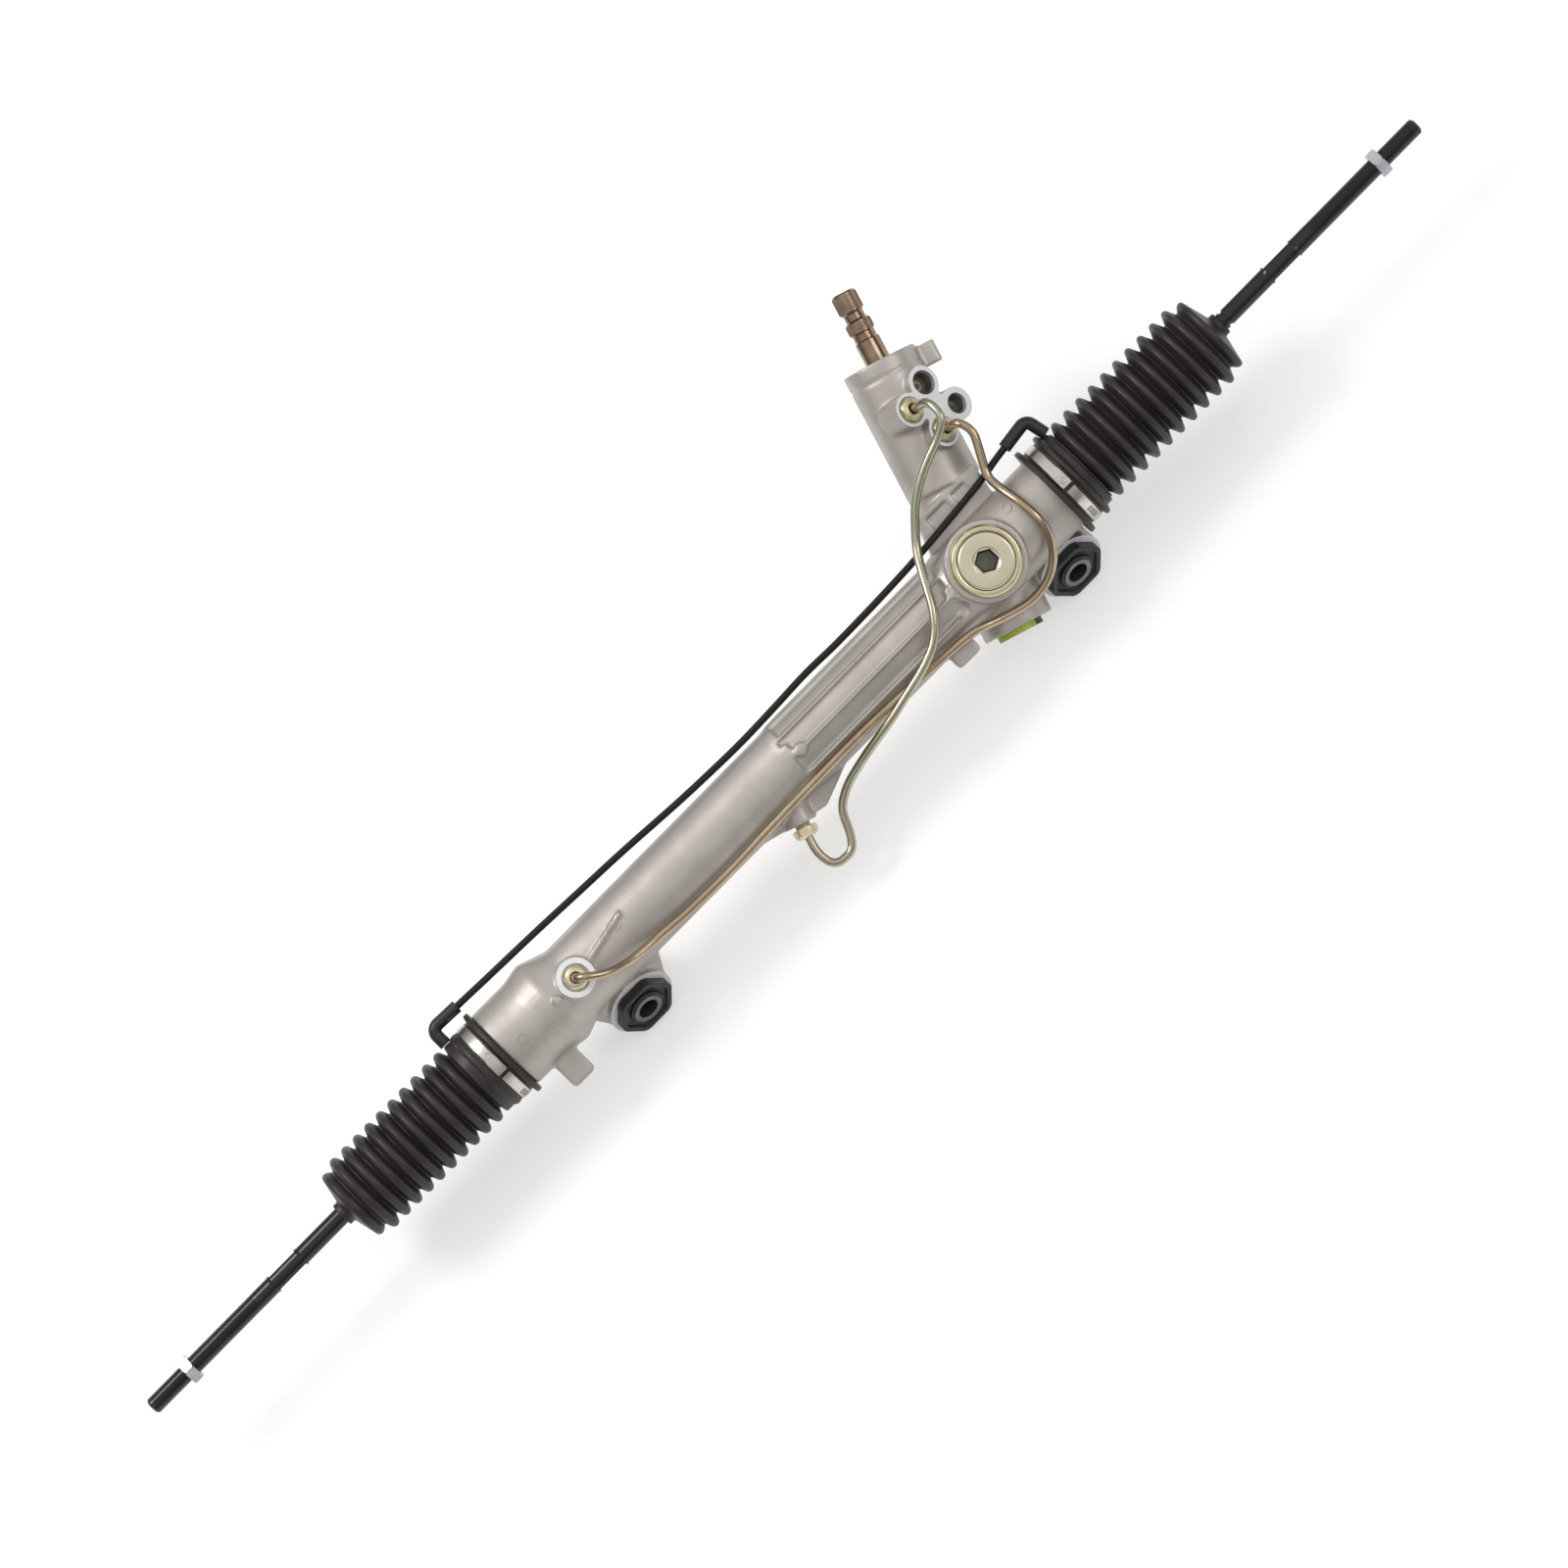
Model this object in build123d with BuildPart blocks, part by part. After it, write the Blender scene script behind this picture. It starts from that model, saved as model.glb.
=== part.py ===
from build123d import *
from math import acos, atan, cos, degrees, pi, radians, sin, sqrt, tan
import os

# Hydraulic rack and pinion steering gear of a car, in millimetres.
# +X runs along the rack towards its pinion end, -Y is the front of the car and +Z is up.
# The origin lies midway between the two chassis bushings, at the height of their bolts.

# Layout of the axes
bushing_spacing = 402.8
rack_rise = 46.0  # rack axis above the bolt axes
yoke_pitch = 55.0  # yoke axis above the horizontal, leaning to the front, in degrees
yoke_inset = 38.4  # right bushing to the crossing of yoke and pinion, towards the middle
pinion_skew = 17.5  # pinion axis off square to the rack, in degrees
running_fit = 0.05  # radial clearance of a fit that turns or slides
seat_fit = 0.03  # radial clearance of a piece that stays in its seat

# Rack and tie rods
rack_radius = 13.0
rack_travel = 70.0  # each way
stop_gap = 4.0  # left between socket and housing at full lock
tie_rod_reach = 204.5  # ball centre to rod tip
right_rest_shift = 4.5  # further gap at the right, where the rack rests off centre
socket_depth = 33.0  # ball centre to the shoulder that meets the rack
socket_radius = 18.5
socket_mouth = 9.5  # rim of the socket beyond the ball centre
socket_stud_radius = 7.0
socket_stud_length = 16.0
ball_radius = 12.5
seat_wall = 2.45  # plastic shell around the ball
rod_radius = 6.25
rod_thread_radius = 6.2
rod_thread_start = 106.5
rod_tip_radius = 6.0  # free thread beyond the jam nut
rod_tip_chamfer = 1.5
rod_flats_start = 66.0
rod_flats_end = 90.0
rod_flats_radius = 6.9
rod_flats_across = 11.0
jam_nut_across = 19.0
jam_nut_thickness = 7.4
jam_nut_place = 169.0  # ball centre to the middle of the nut

# Rack teeth and pinion
tooth_module = 2.1
pinion_teeth = 8
rack_teeth = 27
pressure_angle = 20.0
profile_shift = 0.5  # in modules
rack_addendum = 1.9
pinion_addendum = 1.65
root_clearance = 0.35
backlash = 0.12
rack_line_depth = 9.3  # rack axis to the reference line of its teeth
pinion_face = 30.0  # length of the toothed part

# Housing tube
tube_radius = 26.4
cylinder_bore = 20.0
left_end_reach = 103.1  # left bushing to the left end of the housing
right_end_reach = 48.6
cylinder_reach = 64.6  # left bushing to the mouth of the cylinder
cylinder_end = -10.0
rib_start = -14.0
rib_inset = 29.0  # yoke to the end of the ribs
rib_body_radius = 27.5
rib_height = 1.3
rib_width = 2.6
gear_radius = 28.5
gear_bore = 16.0
left_cuff_radius = 28.0
left_flange_radius = 31.0
left_flange_reach = 85.1  # left bushing to the flange behind the cuff
flare_radius = 33.5
flare_reach = 40.6

# Valve tower, heights measured along the pinion axis from its crossing with the rack
tower_radius = 26.0
tower_rim = 6.0  # tower above the valve cover
tower_step = 56.0
tower_neck_radius = 24.0
foot_radius = 24.6
foot_bottom = -48.0
valve_bore = 20.0
valve_bore_bottom = 36.0

# Port face
port_turn = 35.0  # turn of the port face about the tower, from the yoke side, in degrees
port_reach = 32.0  # tower axis to the port face
lobe_radius = 11.6
port_block_depth = 24.0
return_place = (1.2, 39.0)  # each port to the side of the tower axis, and above the middle of the valve
pressure_place = (17.3, 17.0)
middle_place = (-18.3, 26.6)
left_place = (-2.0, 5.5)
return_radius = 7.0
pressure_radius = 5.8
port_depth = 9.0
line_port_extra = 2.0  # by which the line ports are deeper
drill_radius = 2.6
seat_radius = 3.6
seat_length = 2.2

# Tube nuts and hard lines
nut_across = 15.0
nut_head = 7.0
nut_thread_radius = 5.5
nut_thread_length = 6.5
nut_recess = 4.0  # countersink that a nut sits in
nut_recess_radius = 9.2
nut_stand = 2.5  # thread that shows at the cylinder's middle port
line_radius = 3.0

# Cylinder ports
left_port_inset = 17.6  # left bushing to the left port
left_port_reach = 32.0
left_port_radius = 12.5
middle_port_x = -33.0
middle_port_reach = 36.7
middle_port_radius = 11.0

# Ears and bushings
ear_radius = 24.5
ear_half_width = 19.0
ear_web_half_width = 14.0
ear_root_rise = 30.0
bushing_bore = 17.5
rubber_flange_radius = 21.8
rubber_flange_across = 39.4
rubber_flange = 7.0
sleeve_radius = 10.7
bolt_hole_radius = 7.25
sleeve_stand = 1.0  # sleeve past the rubber at each end

# Cast lugs and webs
left_lug_inset = 60.6  # left bushing to the square lug, outwards
left_lug_width = 18.5
left_lug_drop = 51.0  # rack axis to the foot of the lug
left_lug_root = 22.0
yoke_lug_inset = 52.0  # yoke to the small lug beside it
yoke_lug_width = 20.0
yoke_lug_drop = 38.0
yoke_lug_root = 18.0
lug_thickness = 14.0
lug_corner = 3.0
tower_lug_reach = 38.5  # tower axis to the end of the lug at its top
tower_lug_length = 19.0
tower_lug_width = 15.0
tower_lug_shift = 4.0
tower_lug_drop = 3.5  # tower top to the top of the lug
shoulder_top = 51.5  # rack axis to the top of the square shoulder under the tower
shoulder_root = 20.0
shoulder_pocket = 1.5  # depth of the two pockets in the shoulder
web_thickness = 8.0
left_web_length = 50.0
rib_boss_radius = 4.5  # round boss where the ribs start
rib_boss_reach = 28.6
peg_radius = 3.2  # locating peg beside the left port
peg_reach = 36.0
peg_inset = 19.0
tower_groove_drop = 10.0  # tower top to the turned groove below it
tower_groove_width = 3.0
tower_groove_depth = 0.7

# Yoke
yoke_boss_radius = 27.5
yoke_boss_top = 31.0
yoke_radius = 17.0
yoke_bottom = 3.5
yoke_top = 22.0
liner_wall = 0.8
plug_radius = 19.2
plug_bottom = 24.0
plug_top = 38.5
plug_socket_across = 14.4
plug_socket_depth = 8.0
locknut_radius = 25.0
locknut_height = 6.2
spring_radius = 8.0
spring_wire = 1.5

# Pinion bearings and valve
lower_bearing_radius = 16.0
lower_bearing_bottom = -38.0
lower_bearing_height = 10.0
lower_journal_radius = 7.5
ball_circle = 11.75
bearing_ball_radius = 2.0
bearing_balls = 8
upper_bearing_radius = 15.0
upper_bearing_bottom = 20.0
upper_bearing_height = 12.0
upper_journal_radius = 9.0
head_radius = 14.0
head_top = 48.0
valve_sleeve_radius = 18.6
valve_sleeve_height = 72.0
spool_radius = 11.0
ring_groove_depth = 1.0
ring_height = 2.5
valve_ring_count = 4
valve_ring_pitch = 18.0
torsion_bar_radius = 2.8
torsion_bar_gap = 0.3
torsion_pin_radius = 1.5
torsion_pin_gap = 0.4

# Input shaft
shaft_radius = 8.75
shaft_neck_radius = 7.0
shaft_groove_reach = 15.5  # each shaft height above the tower top
shaft_collar_reach = 22.0
shaft_neck_reach = 31.0
shaft_head_reach = 37.0
shaft_reach = 50.7
shaft_head_radius = 8.5
shaft_lower_end = 41.0
cover_gap = 4.0  # valve sleeve to its cover
cover_height = 20.0
input_bearing_height = 9.0
input_bearing_radius = 13.0
input_seal_radius = 14.0
snap_height = 1.6
snap_depth = 1.1

# Cylinder seals
piston_x = -131.0
piston_width = 18.0
piston_ring_width = 3.0
piston_ring_depth = 2.2
bushing_length = 24.0
seal_length = 9.0

# Bellows
left_cuff_outer = 30.6
right_cuff_outer = 31.6
bellows_wall = 1.8
crest_wall = 2.4
bellows_crests = 11
small_end_length = 4.0
clamp_width = 9.0
clamp_wall = 0.9
buckle_height = 3.2
rubber_gap = 0.3

# Breather
breather_radius = 2.4
elbow_radius = 4.4
elbow_arm = 11.0  # corner of the elbow to the end of the tube
spigot_radius = 2.5
spigot_length = 5.0

# Directions: to_yoke looks out through the yoke plug, to_tower is square to it and to the rack.
along_rack = Vector(1, 0, 0)
to_yoke = Vector(0, -cos(radians(yoke_pitch)), sin(radians(yoke_pitch)))
to_tower = Vector(0, sin(radians(yoke_pitch)), cos(radians(yoke_pitch)))
skew = radians(pinion_skew)
pinion_axis = to_tower * cos(skew) + along_rack * sin(skew)
pinion_side = along_rack * cos(skew) - to_tower * sin(skew)
port_normal = to_yoke * cos(radians(port_turn)) + pinion_side * sin(radians(port_turn))
port_side = pinion_side * cos(radians(port_turn)) - to_yoke * sin(radians(port_turn))

# Gear sizes that follow from the teeth
pitch_radius = pinion_teeth * tooth_module / (2 * cos(skew))
pinion_line = pitch_radius + profile_shift * tooth_module  # pinion axis to the reference line
pinion_offset = rack_line_depth + pinion_line
pinion_tip = pinion_line + pinion_addendum
pinion_root = pinion_line - rack_addendum - root_clearance
pinion_bore = pinion_tip + 0.8
rack_pitch = pi * tooth_module

# Places along the rack that follow from the bushings and the travel
bushing_x = bushing_spacing / 2
yoke_x = bushing_x - yoke_inset
rib_end = yoke_x - rib_inset
right_housing_end = bushing_x + right_end_reach
left_housing_end = -bushing_x - left_end_reach
left_flange_start = -bushing_x - left_flange_reach
cylinder_start = -bushing_x - cylinder_reach
flare_x = -bushing_x - flare_reach
left_port_x = -bushing_x - left_port_inset
rack_right_end = right_housing_end + rack_travel + stop_gap + right_rest_shift
rack_left_end = left_housing_end - rack_travel - stop_gap
right_ball_x = rack_right_end + socket_depth
left_ball_x = rack_left_end - socket_depth

# Heights along the tower that follow from the valve
cover_bottom = head_top + valve_sleeve_height + cover_gap
tower_top = cover_bottom + cover_height + tower_rim
valve_middle = head_top + valve_sleeve_height / 2
return_spot = (return_place[0], valve_middle + return_place[1])
pressure_spot = (pressure_place[0], valve_middle + pressure_place[1])
middle_spot = (middle_place[0], valve_middle + middle_place[1])
left_spot = (left_place[0], valve_middle + left_place[1])
shaft_collar_start = tower_top + shaft_collar_reach
shaft_neck_start = tower_top + shaft_neck_reach
shaft_head_start = tower_top + shaft_head_reach
shaft_top = tower_top + shaft_reach

# Ball joints
seat_outer = ball_radius + running_fit + seat_wall
socket_cavity = seat_outer + running_fit
rod_tip_start = jam_nut_place + jam_nut_thickness / 2


def spot(x, up, out):
    """Point at x along the rack, up towards the tower and out towards the yoke plug."""
    return Vector(x, 0, rack_rise) + to_tower * up + to_yoke * out


pinion_foot = spot(yoke_x, 0, -pinion_offset)
rack_axis = Axis(spot(0, 0, 0), along_rack)
tower_axis = Axis(pinion_foot, pinion_axis)


def rack_face(out):
    """Plane seen from the yoke side, with x along the rack and y up to the tower."""
    return Plane(origin=spot(0, 0, out), x_dir=along_rack, z_dir=to_yoke)


def rack_section(x):
    """Plane across the rack, with x up to the tower and y out to the yoke."""
    return Plane(origin=spot(x, 0, 0), x_dir=to_tower, z_dir=along_rack)


def yoke_section(out):
    """Plane across the yoke bore."""
    return Plane(origin=spot(yoke_x, 0, out), x_dir=along_rack, z_dir=to_yoke)


def tower_section(height):
    """Plane across the tower, with x to its side and y away from the yoke side."""
    return Plane(origin=pinion_foot + pinion_axis * height, x_dir=pinion_side, z_dir=pinion_axis)


def tower_face(out):
    """Plane along the tower seen from the yoke side, with y up the pinion axis."""
    return Plane(origin=pinion_foot + to_yoke * out, x_dir=pinion_side, z_dir=to_yoke)


def port_face(reach):
    """Plane of the port face, with y up the pinion axis."""
    return Plane(origin=pinion_foot + port_normal * reach, x_dir=port_side, z_dir=port_normal)


def port_plane(place):
    """Plane centred on one port of the port face."""
    face = port_face(port_reach)
    return Plane(origin=face.from_local_coords((place[0], place[1], 0)), x_dir=port_side, z_dir=port_normal)


def rack_ring(start, end, inner, outer):
    """Plain ring around the rack axis."""
    with BuildPart() as ring:
        with BuildSketch(rack_section(start)):
            Circle(outer)
            Circle(inner, mode=Mode.SUBTRACT)
        extrude(amount=end - start)
    return ring


def tower_ring(bottom, top, inner, outer):
    """Plain ring around the pinion axis."""
    with BuildPart() as ring:
        with BuildSketch(tower_section(bottom)):
            Circle(outer)
            Circle(inner, mode=Mode.SUBTRACT)
        extrude(amount=top - bottom)
    return ring


left_port_plane = Plane(
    origin=spot(left_port_x, 0, left_port_reach), x_dir=along_rack, z_dir=to_yoke
)
middle_port_plane = Plane(
    origin=spot(middle_port_x, 0, 0) - pinion_axis * middle_port_reach,
    x_dir=to_yoke,
    z_dir=-pinion_axis,
)

# Rack housing: one aluminium casting with the cylinder tube, the gear case and the valve tower.
lower_bore_top = lower_bearing_bottom + lower_bearing_height
upper_bore_bottom = pinion_face / 2 + 1
with BuildPart() as rack_housing:
    # Round body along the rack
    with BuildSketch(rack_face(0)):
        with BuildLine():
            FilletPolyline(
                (left_housing_end, 0),
                (left_housing_end, left_cuff_radius),
                (left_flange_start, left_cuff_radius),
                (left_flange_start, left_flange_radius),
                (flare_x - 14, left_flange_radius),
                (flare_x, flare_radius),
                (flare_x + 20, tube_radius),
                (rib_start - 8, tube_radius),
                (rib_start, rib_body_radius),
                (rib_end, rib_body_radius),
                (rib_end + 7, gear_radius),
                (right_housing_end, gear_radius),
                (right_housing_end, 0),
                radius=[0, 0, 0, 8, 9, 14, 4, 4, 3, 3, 0],
            )
            Line((right_housing_end, 0), (left_housing_end, 0))
        make_face()
    revolve(axis=rack_axis)
    # Lengthwise ribs of the middle part
    with BuildSketch(rack_section(rib_start)):
        for rib_angle in (49, 90, 121, -49, -90, -121):
            with PolarLocations(rib_body_radius - 1 + rib_height / 2, 1, start_angle=rib_angle):
                Rectangle(rib_height + 2, rib_width)
    extrude(amount=rib_end - rib_start)
    # Valve tower, its neck and the foot around the pinion
    with BuildSketch(tower_section(foot_bottom)):
        Circle(foot_radius)
    extrude(amount=-foot_bottom)
    with BuildSketch(tower_section(0)):
        Circle(tower_neck_radius)
    extrude(amount=tower_step)
    with BuildSketch(tower_section(tower_step)):
        Circle(tower_radius)
    extrude(amount=tower_top - tower_step)
    with BuildSketch(tower_section(tower_top - tower_groove_drop)):
        Circle(tower_radius + 1)
        Circle(tower_radius - tower_groove_depth, mode=Mode.SUBTRACT)
    extrude(amount=-tower_groove_width, mode=Mode.SUBTRACT)
    # Square shoulder where the tower leaves the gear case, with two shallow pockets
    with BuildSketch(rack_face(-pinion_offset - 20)):
        Polygon(
            (yoke_x - 25, shoulder_root),
            (yoke_x - 13, shoulder_top),
            (yoke_x + 40.5, shoulder_top),
            (yoke_x + 33.5, shoulder_root),
        )
    extrude(amount=20 + foot_radius)
    with BuildSketch(rack_face(foot_radius - pinion_offset)):
        with Locations((yoke_x + 1, shoulder_top - 10)):
            RectangleRounded(19, 12, lug_corner / 2)
        with Locations((yoke_x + 21, shoulder_top - 8)):
            RectangleRounded(13, 8, lug_corner / 2)
    extrude(amount=-shoulder_pocket, mode=Mode.SUBTRACT)
    # Lug at the tower top
    with BuildSketch(tower_section(tower_top - tower_lug_drop)):
        with Locations((tower_lug_reach - tower_lug_length / 2, tower_lug_shift)):
            RectangleRounded(tower_lug_length, tower_lug_width, lug_corner)
    extrude(amount=-tower_lug_width)
    # Port block with four round lobes
    with BuildSketch(port_face(port_reach)):
        with Locations(return_spot, pressure_spot, middle_spot, left_spot):
            Circle(lobe_radius)
        Polygon(return_spot, pressure_spot, left_spot, middle_spot)
    extrude(amount=-port_block_depth)
    # Yoke boss
    with BuildSketch(yoke_section(8)):
        Circle(yoke_boss_radius)
    extrude(amount=yoke_boss_top - 8)
    # Round boss where the ribs start and locating peg beside the left port
    with BuildSketch(rack_face(rib_boss_reach)):
        with Locations((rib_start + 3, -2)):
            Circle(rib_boss_radius)
    extrude(amount=rib_body_radius - rib_boss_reach - 3)
    with BuildSketch(rack_face(peg_reach)):
        with Locations((left_port_x - peg_inset, -2)):
            Circle(peg_radius)
    extrude(amount=tube_radius - peg_reach)
    # Cylinder port bosses and their webs
    with BuildSketch(left_port_plane.offset(-12)):
        Circle(left_port_radius)
    extrude(amount=12)
    with BuildSketch(rack_face(left_port_reach - 12)):
        Polygon(
            (left_port_x, -3),
            (left_port_x, 1),
            (left_port_x + left_web_length, 11),
            (left_port_x + left_web_length, 8),
        )
    extrude(amount=web_thickness)
    with BuildSketch(middle_port_plane.offset(-16)):
        Circle(middle_port_radius)
    extrude(amount=16)
    with BuildSketch(rack_face(-web_thickness / 2)):
        with Locations((middle_port_x, -22)):
            Polygon((-53, 0), (-21, -9), (-11, -11), (31, 0), align=None)
            Polygon((-17, 0), (-8, -12), (9, -16), (39, -5), (39, 0), align=None)
    extrude(amount=web_thickness)
    # Ears for the chassis bushings
    with BuildSketch(Plane.XZ):
        with Locations((-bushing_x, 0), (bushing_x, 0)):
            Circle(ear_radius)
    extrude(amount=ear_half_width, both=True)
    with BuildSketch(Plane.XZ):
        for ear_x, inner_root, outer_root in ((-bushing_x, 36, 36), (bushing_x, 30, 22)):
            Polygon(
                (ear_x - ear_radius, -2),
                (ear_x + ear_radius, -2),
                (ear_x + outer_root, ear_root_rise),
                (ear_x - inner_root, ear_root_rise),
            )
    extrude(amount=ear_web_half_width, both=True)
    # Square lug at the left end and small lug beside the yoke
    with BuildSketch(rack_face(-lug_thickness / 2)):
        with Locations((-bushing_x - left_lug_inset, -(left_lug_drop + left_lug_root) / 2)):
            RectangleRounded(left_lug_width, left_lug_drop - left_lug_root, lug_corner)
    extrude(amount=lug_thickness)
    with BuildSketch(rack_face(0)):
        with Locations((yoke_x - yoke_lug_inset, -(yoke_lug_drop + yoke_lug_root) / 2)):
            RectangleRounded(yoke_lug_width, yoke_lug_drop - yoke_lug_root, lug_corner)
    extrude(amount=lug_thickness)
    # Cylinder bore, rack bore and the wider mouth at the left end
    with BuildSketch(rack_section(left_housing_end)):
        Circle(cylinder_bore + 1.5)
    extrude(amount=cylinder_start - left_housing_end, mode=Mode.SUBTRACT)
    with BuildSketch(rack_section(cylinder_start)):
        Circle(cylinder_bore)
    extrude(amount=cylinder_end - cylinder_start, mode=Mode.SUBTRACT)
    with BuildSketch(rack_section(cylinder_end)):
        Circle(gear_bore)
    extrude(amount=right_housing_end - cylinder_end, mode=Mode.SUBTRACT)
    # Groove of the retaining ring
    with BuildSketch(rack_section(cylinder_start + 2)):
        Circle(cylinder_bore + snap_depth)
    extrude(amount=snap_height + 0.2, mode=Mode.SUBTRACT)
    # Pinion bore, bearing seats and valve bore
    with BuildSketch(tower_section(foot_bottom)):
        Circle(lower_bearing_radius + seat_fit)
    extrude(amount=lower_bore_top - foot_bottom, mode=Mode.SUBTRACT)
    with BuildSketch(tower_section(lower_bore_top)):
        Circle(pinion_bore)
    extrude(amount=upper_bore_bottom - lower_bore_top, mode=Mode.SUBTRACT)
    with BuildSketch(tower_section(upper_bore_bottom)):
        Circle(upper_bearing_radius + seat_fit)
    extrude(amount=valve_bore_bottom - upper_bore_bottom, mode=Mode.SUBTRACT)
    with BuildSketch(tower_section(valve_bore_bottom)):
        Circle(valve_bore)
    extrude(amount=tower_top - valve_bore_bottom, mode=Mode.SUBTRACT)
    with BuildSketch(tower_section(cover_bottom + cover_height)):
        Circle(valve_bore + snap_depth)
    extrude(amount=snap_height + 0.2, mode=Mode.SUBTRACT)
    # Yoke bore and its thread
    with BuildSketch(yoke_section(0)):
        Circle(yoke_radius + running_fit)
    extrude(amount=yoke_boss_top, mode=Mode.SUBTRACT)
    with BuildSketch(yoke_section(plug_bottom - 1)):
        Circle(plug_radius + seat_fit)
    extrude(amount=yoke_boss_top - plug_bottom + 1, mode=Mode.SUBTRACT)
    # Hose ports, line ports with their countersinks, and the drillings into the valve bore
    with BuildSketch(port_face(port_reach)):
        with Locations(middle_spot, left_spot):
            Circle(nut_recess_radius)
    extrude(amount=-nut_recess, mode=Mode.SUBTRACT)
    with BuildSketch(left_port_plane):
        Circle(nut_recess_radius)
    extrude(amount=-nut_recess, mode=Mode.SUBTRACT)
    with BuildSketch(port_face(port_reach)):
        with Locations(return_spot):
            Circle(return_radius)
        with Locations(pressure_spot):
            Circle(pressure_radius)
        with Locations(middle_spot, left_spot):
            Circle(nut_thread_radius + seat_fit)
    extrude(amount=-port_depth, mode=Mode.SUBTRACT)
    with BuildSketch(port_face(port_reach - port_depth)):
        with Locations(middle_spot, left_spot):
            Circle(nut_thread_radius + seat_fit)
    extrude(amount=-line_port_extra, mode=Mode.SUBTRACT)
    with BuildSketch(port_face(port_reach - port_depth)):
        with Locations(return_spot, pressure_spot):
            Circle(seat_radius + seat_fit)
    extrude(amount=-seat_length, mode=Mode.SUBTRACT)
    with BuildSketch(port_face(port_reach - port_depth)):
        with Locations(return_spot, pressure_spot, middle_spot, left_spot):
            Circle(drill_radius)
    extrude(amount=6 - port_reach + port_depth, mode=Mode.SUBTRACT)
    # Ports of the cylinder
    for port in (left_port_plane, middle_port_plane):
        with BuildSketch(port):
            Circle(nut_thread_radius + seat_fit)
        extrude(amount=-port_depth - line_port_extra, mode=Mode.SUBTRACT)
    with BuildSketch(left_port_plane):
        Circle(drill_radius)
    extrude(amount=cylinder_bore - left_port_reach - 3, mode=Mode.SUBTRACT)
    with BuildSketch(middle_port_plane):
        Circle(drill_radius)
    extrude(amount=cylinder_bore - middle_port_reach - 3, mode=Mode.SUBTRACT)
    # Bores of the ears
    with BuildSketch(Plane.XZ):
        with Locations((-bushing_x, 0), (bushing_x, 0)):
            Circle(bushing_bore)
    extrude(amount=ear_half_width + 1, both=True, mode=Mode.SUBTRACT)


# Chassis bushings: two rubber halves with flanges around a steel sleeve.
def bushing_rubber(x):
    with BuildPart() as rubber:
        with BuildSketch(Plane(origin=(x, 0, 0), x_dir=(1, 0, 0), z_dir=(0, 0, 1))):
            with BuildLine():
                Polyline(
                    (sleeve_radius + seat_fit, 0),
                    (bushing_bore - seat_fit, 0),
                    (bushing_bore - seat_fit, -ear_half_width),
                    (rubber_flange_radius, -ear_half_width),
                    (rubber_flange_radius, -ear_half_width - rubber_flange + 2.5),
                    (rubber_flange_radius - 2.5, -ear_half_width - rubber_flange),
                    (sleeve_radius + seat_fit, -ear_half_width - rubber_flange),
                    close=True,
                )
            make_face()
        revolve(axis=Axis((x, 0, 0), (0, 1, 0)))
        with BuildSketch(Plane(origin=(x, -ear_half_width, 0), x_dir=(1, 0, 0), z_dir=(0, -1, 0))):
            Circle(rubber_flange_radius + 1)
            RegularPolygon(rubber_flange_across / 2, 6, major_radius=False, mode=Mode.SUBTRACT)
        extrude(amount=rubber_flange, mode=Mode.SUBTRACT)
        mirror(about=Plane.XZ)
    return rubber


def bushing_sleeve(x):
    half_length = ear_half_width + rubber_flange + sleeve_stand
    with BuildPart() as sleeve:
        with BuildSketch(Plane(origin=(x, 0, 0), x_dir=(1, 0, 0), z_dir=(0, -1, 0))):
            Circle(sleeve_radius)
            Circle(bolt_hole_radius, mode=Mode.SUBTRACT)
        extrude(amount=half_length, both=True)
    return sleeve


left_bushing_rubber = bushing_rubber(-bushing_x)
right_bushing_rubber = bushing_rubber(bushing_x)
left_bushing_sleeve = bushing_sleeve(-bushing_x)
right_bushing_sleeve = bushing_sleeve(bushing_x)

# Yoke that presses the rack into the pinion, with its liner, spring, plug and locknut.
saddle_radius = rack_radius + running_fit + liner_wall
with BuildPart() as rack_yoke:
    with BuildSketch(yoke_section(yoke_bottom)):
        Circle(yoke_radius)
    extrude(amount=yoke_top - yoke_bottom)
    with BuildSketch(rack_section(yoke_x)):
        Circle(saddle_radius + seat_fit)
    extrude(amount=yoke_radius + 1, both=True, mode=Mode.SUBTRACT)
    with BuildSketch(yoke_section(yoke_top)):
        Circle(spring_radius + spring_wire + 0.5)
    extrude(amount=-3, mode=Mode.SUBTRACT)

with BuildPart() as yoke_liner:
    with BuildSketch(yoke_section(yoke_bottom + 1)):
        Circle(yoke_radius - 2)
    extrude(amount=yoke_top - yoke_bottom - 6)
    with BuildSketch(rack_section(yoke_x)):
        Circle(saddle_radius)
        Circle(rack_radius + running_fit, mode=Mode.SUBTRACT)
    extrude(amount=yoke_radius + 1, both=True, mode=Mode.INTERSECT)

spring_bottom = yoke_top - 3
spring_top = plug_bottom + 6
with BuildPart() as yoke_spring:
    with BuildLine() as coil:
        Helix(
            pitch=(spring_top - spring_bottom - 2 * spring_wire) / 2,
            height=spring_top - spring_bottom - 2 * spring_wire,
            radius=spring_radius,
            center=spot(yoke_x, 0, spring_bottom + spring_wire),
            direction=to_yoke,
        )
    with BuildSketch(Plane(origin=coil.wires()[0] @ 0, z_dir=coil.wires()[0] % 0)):
        Circle(spring_wire - 0.05)
    sweep(path=coil.wires()[0])

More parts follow.
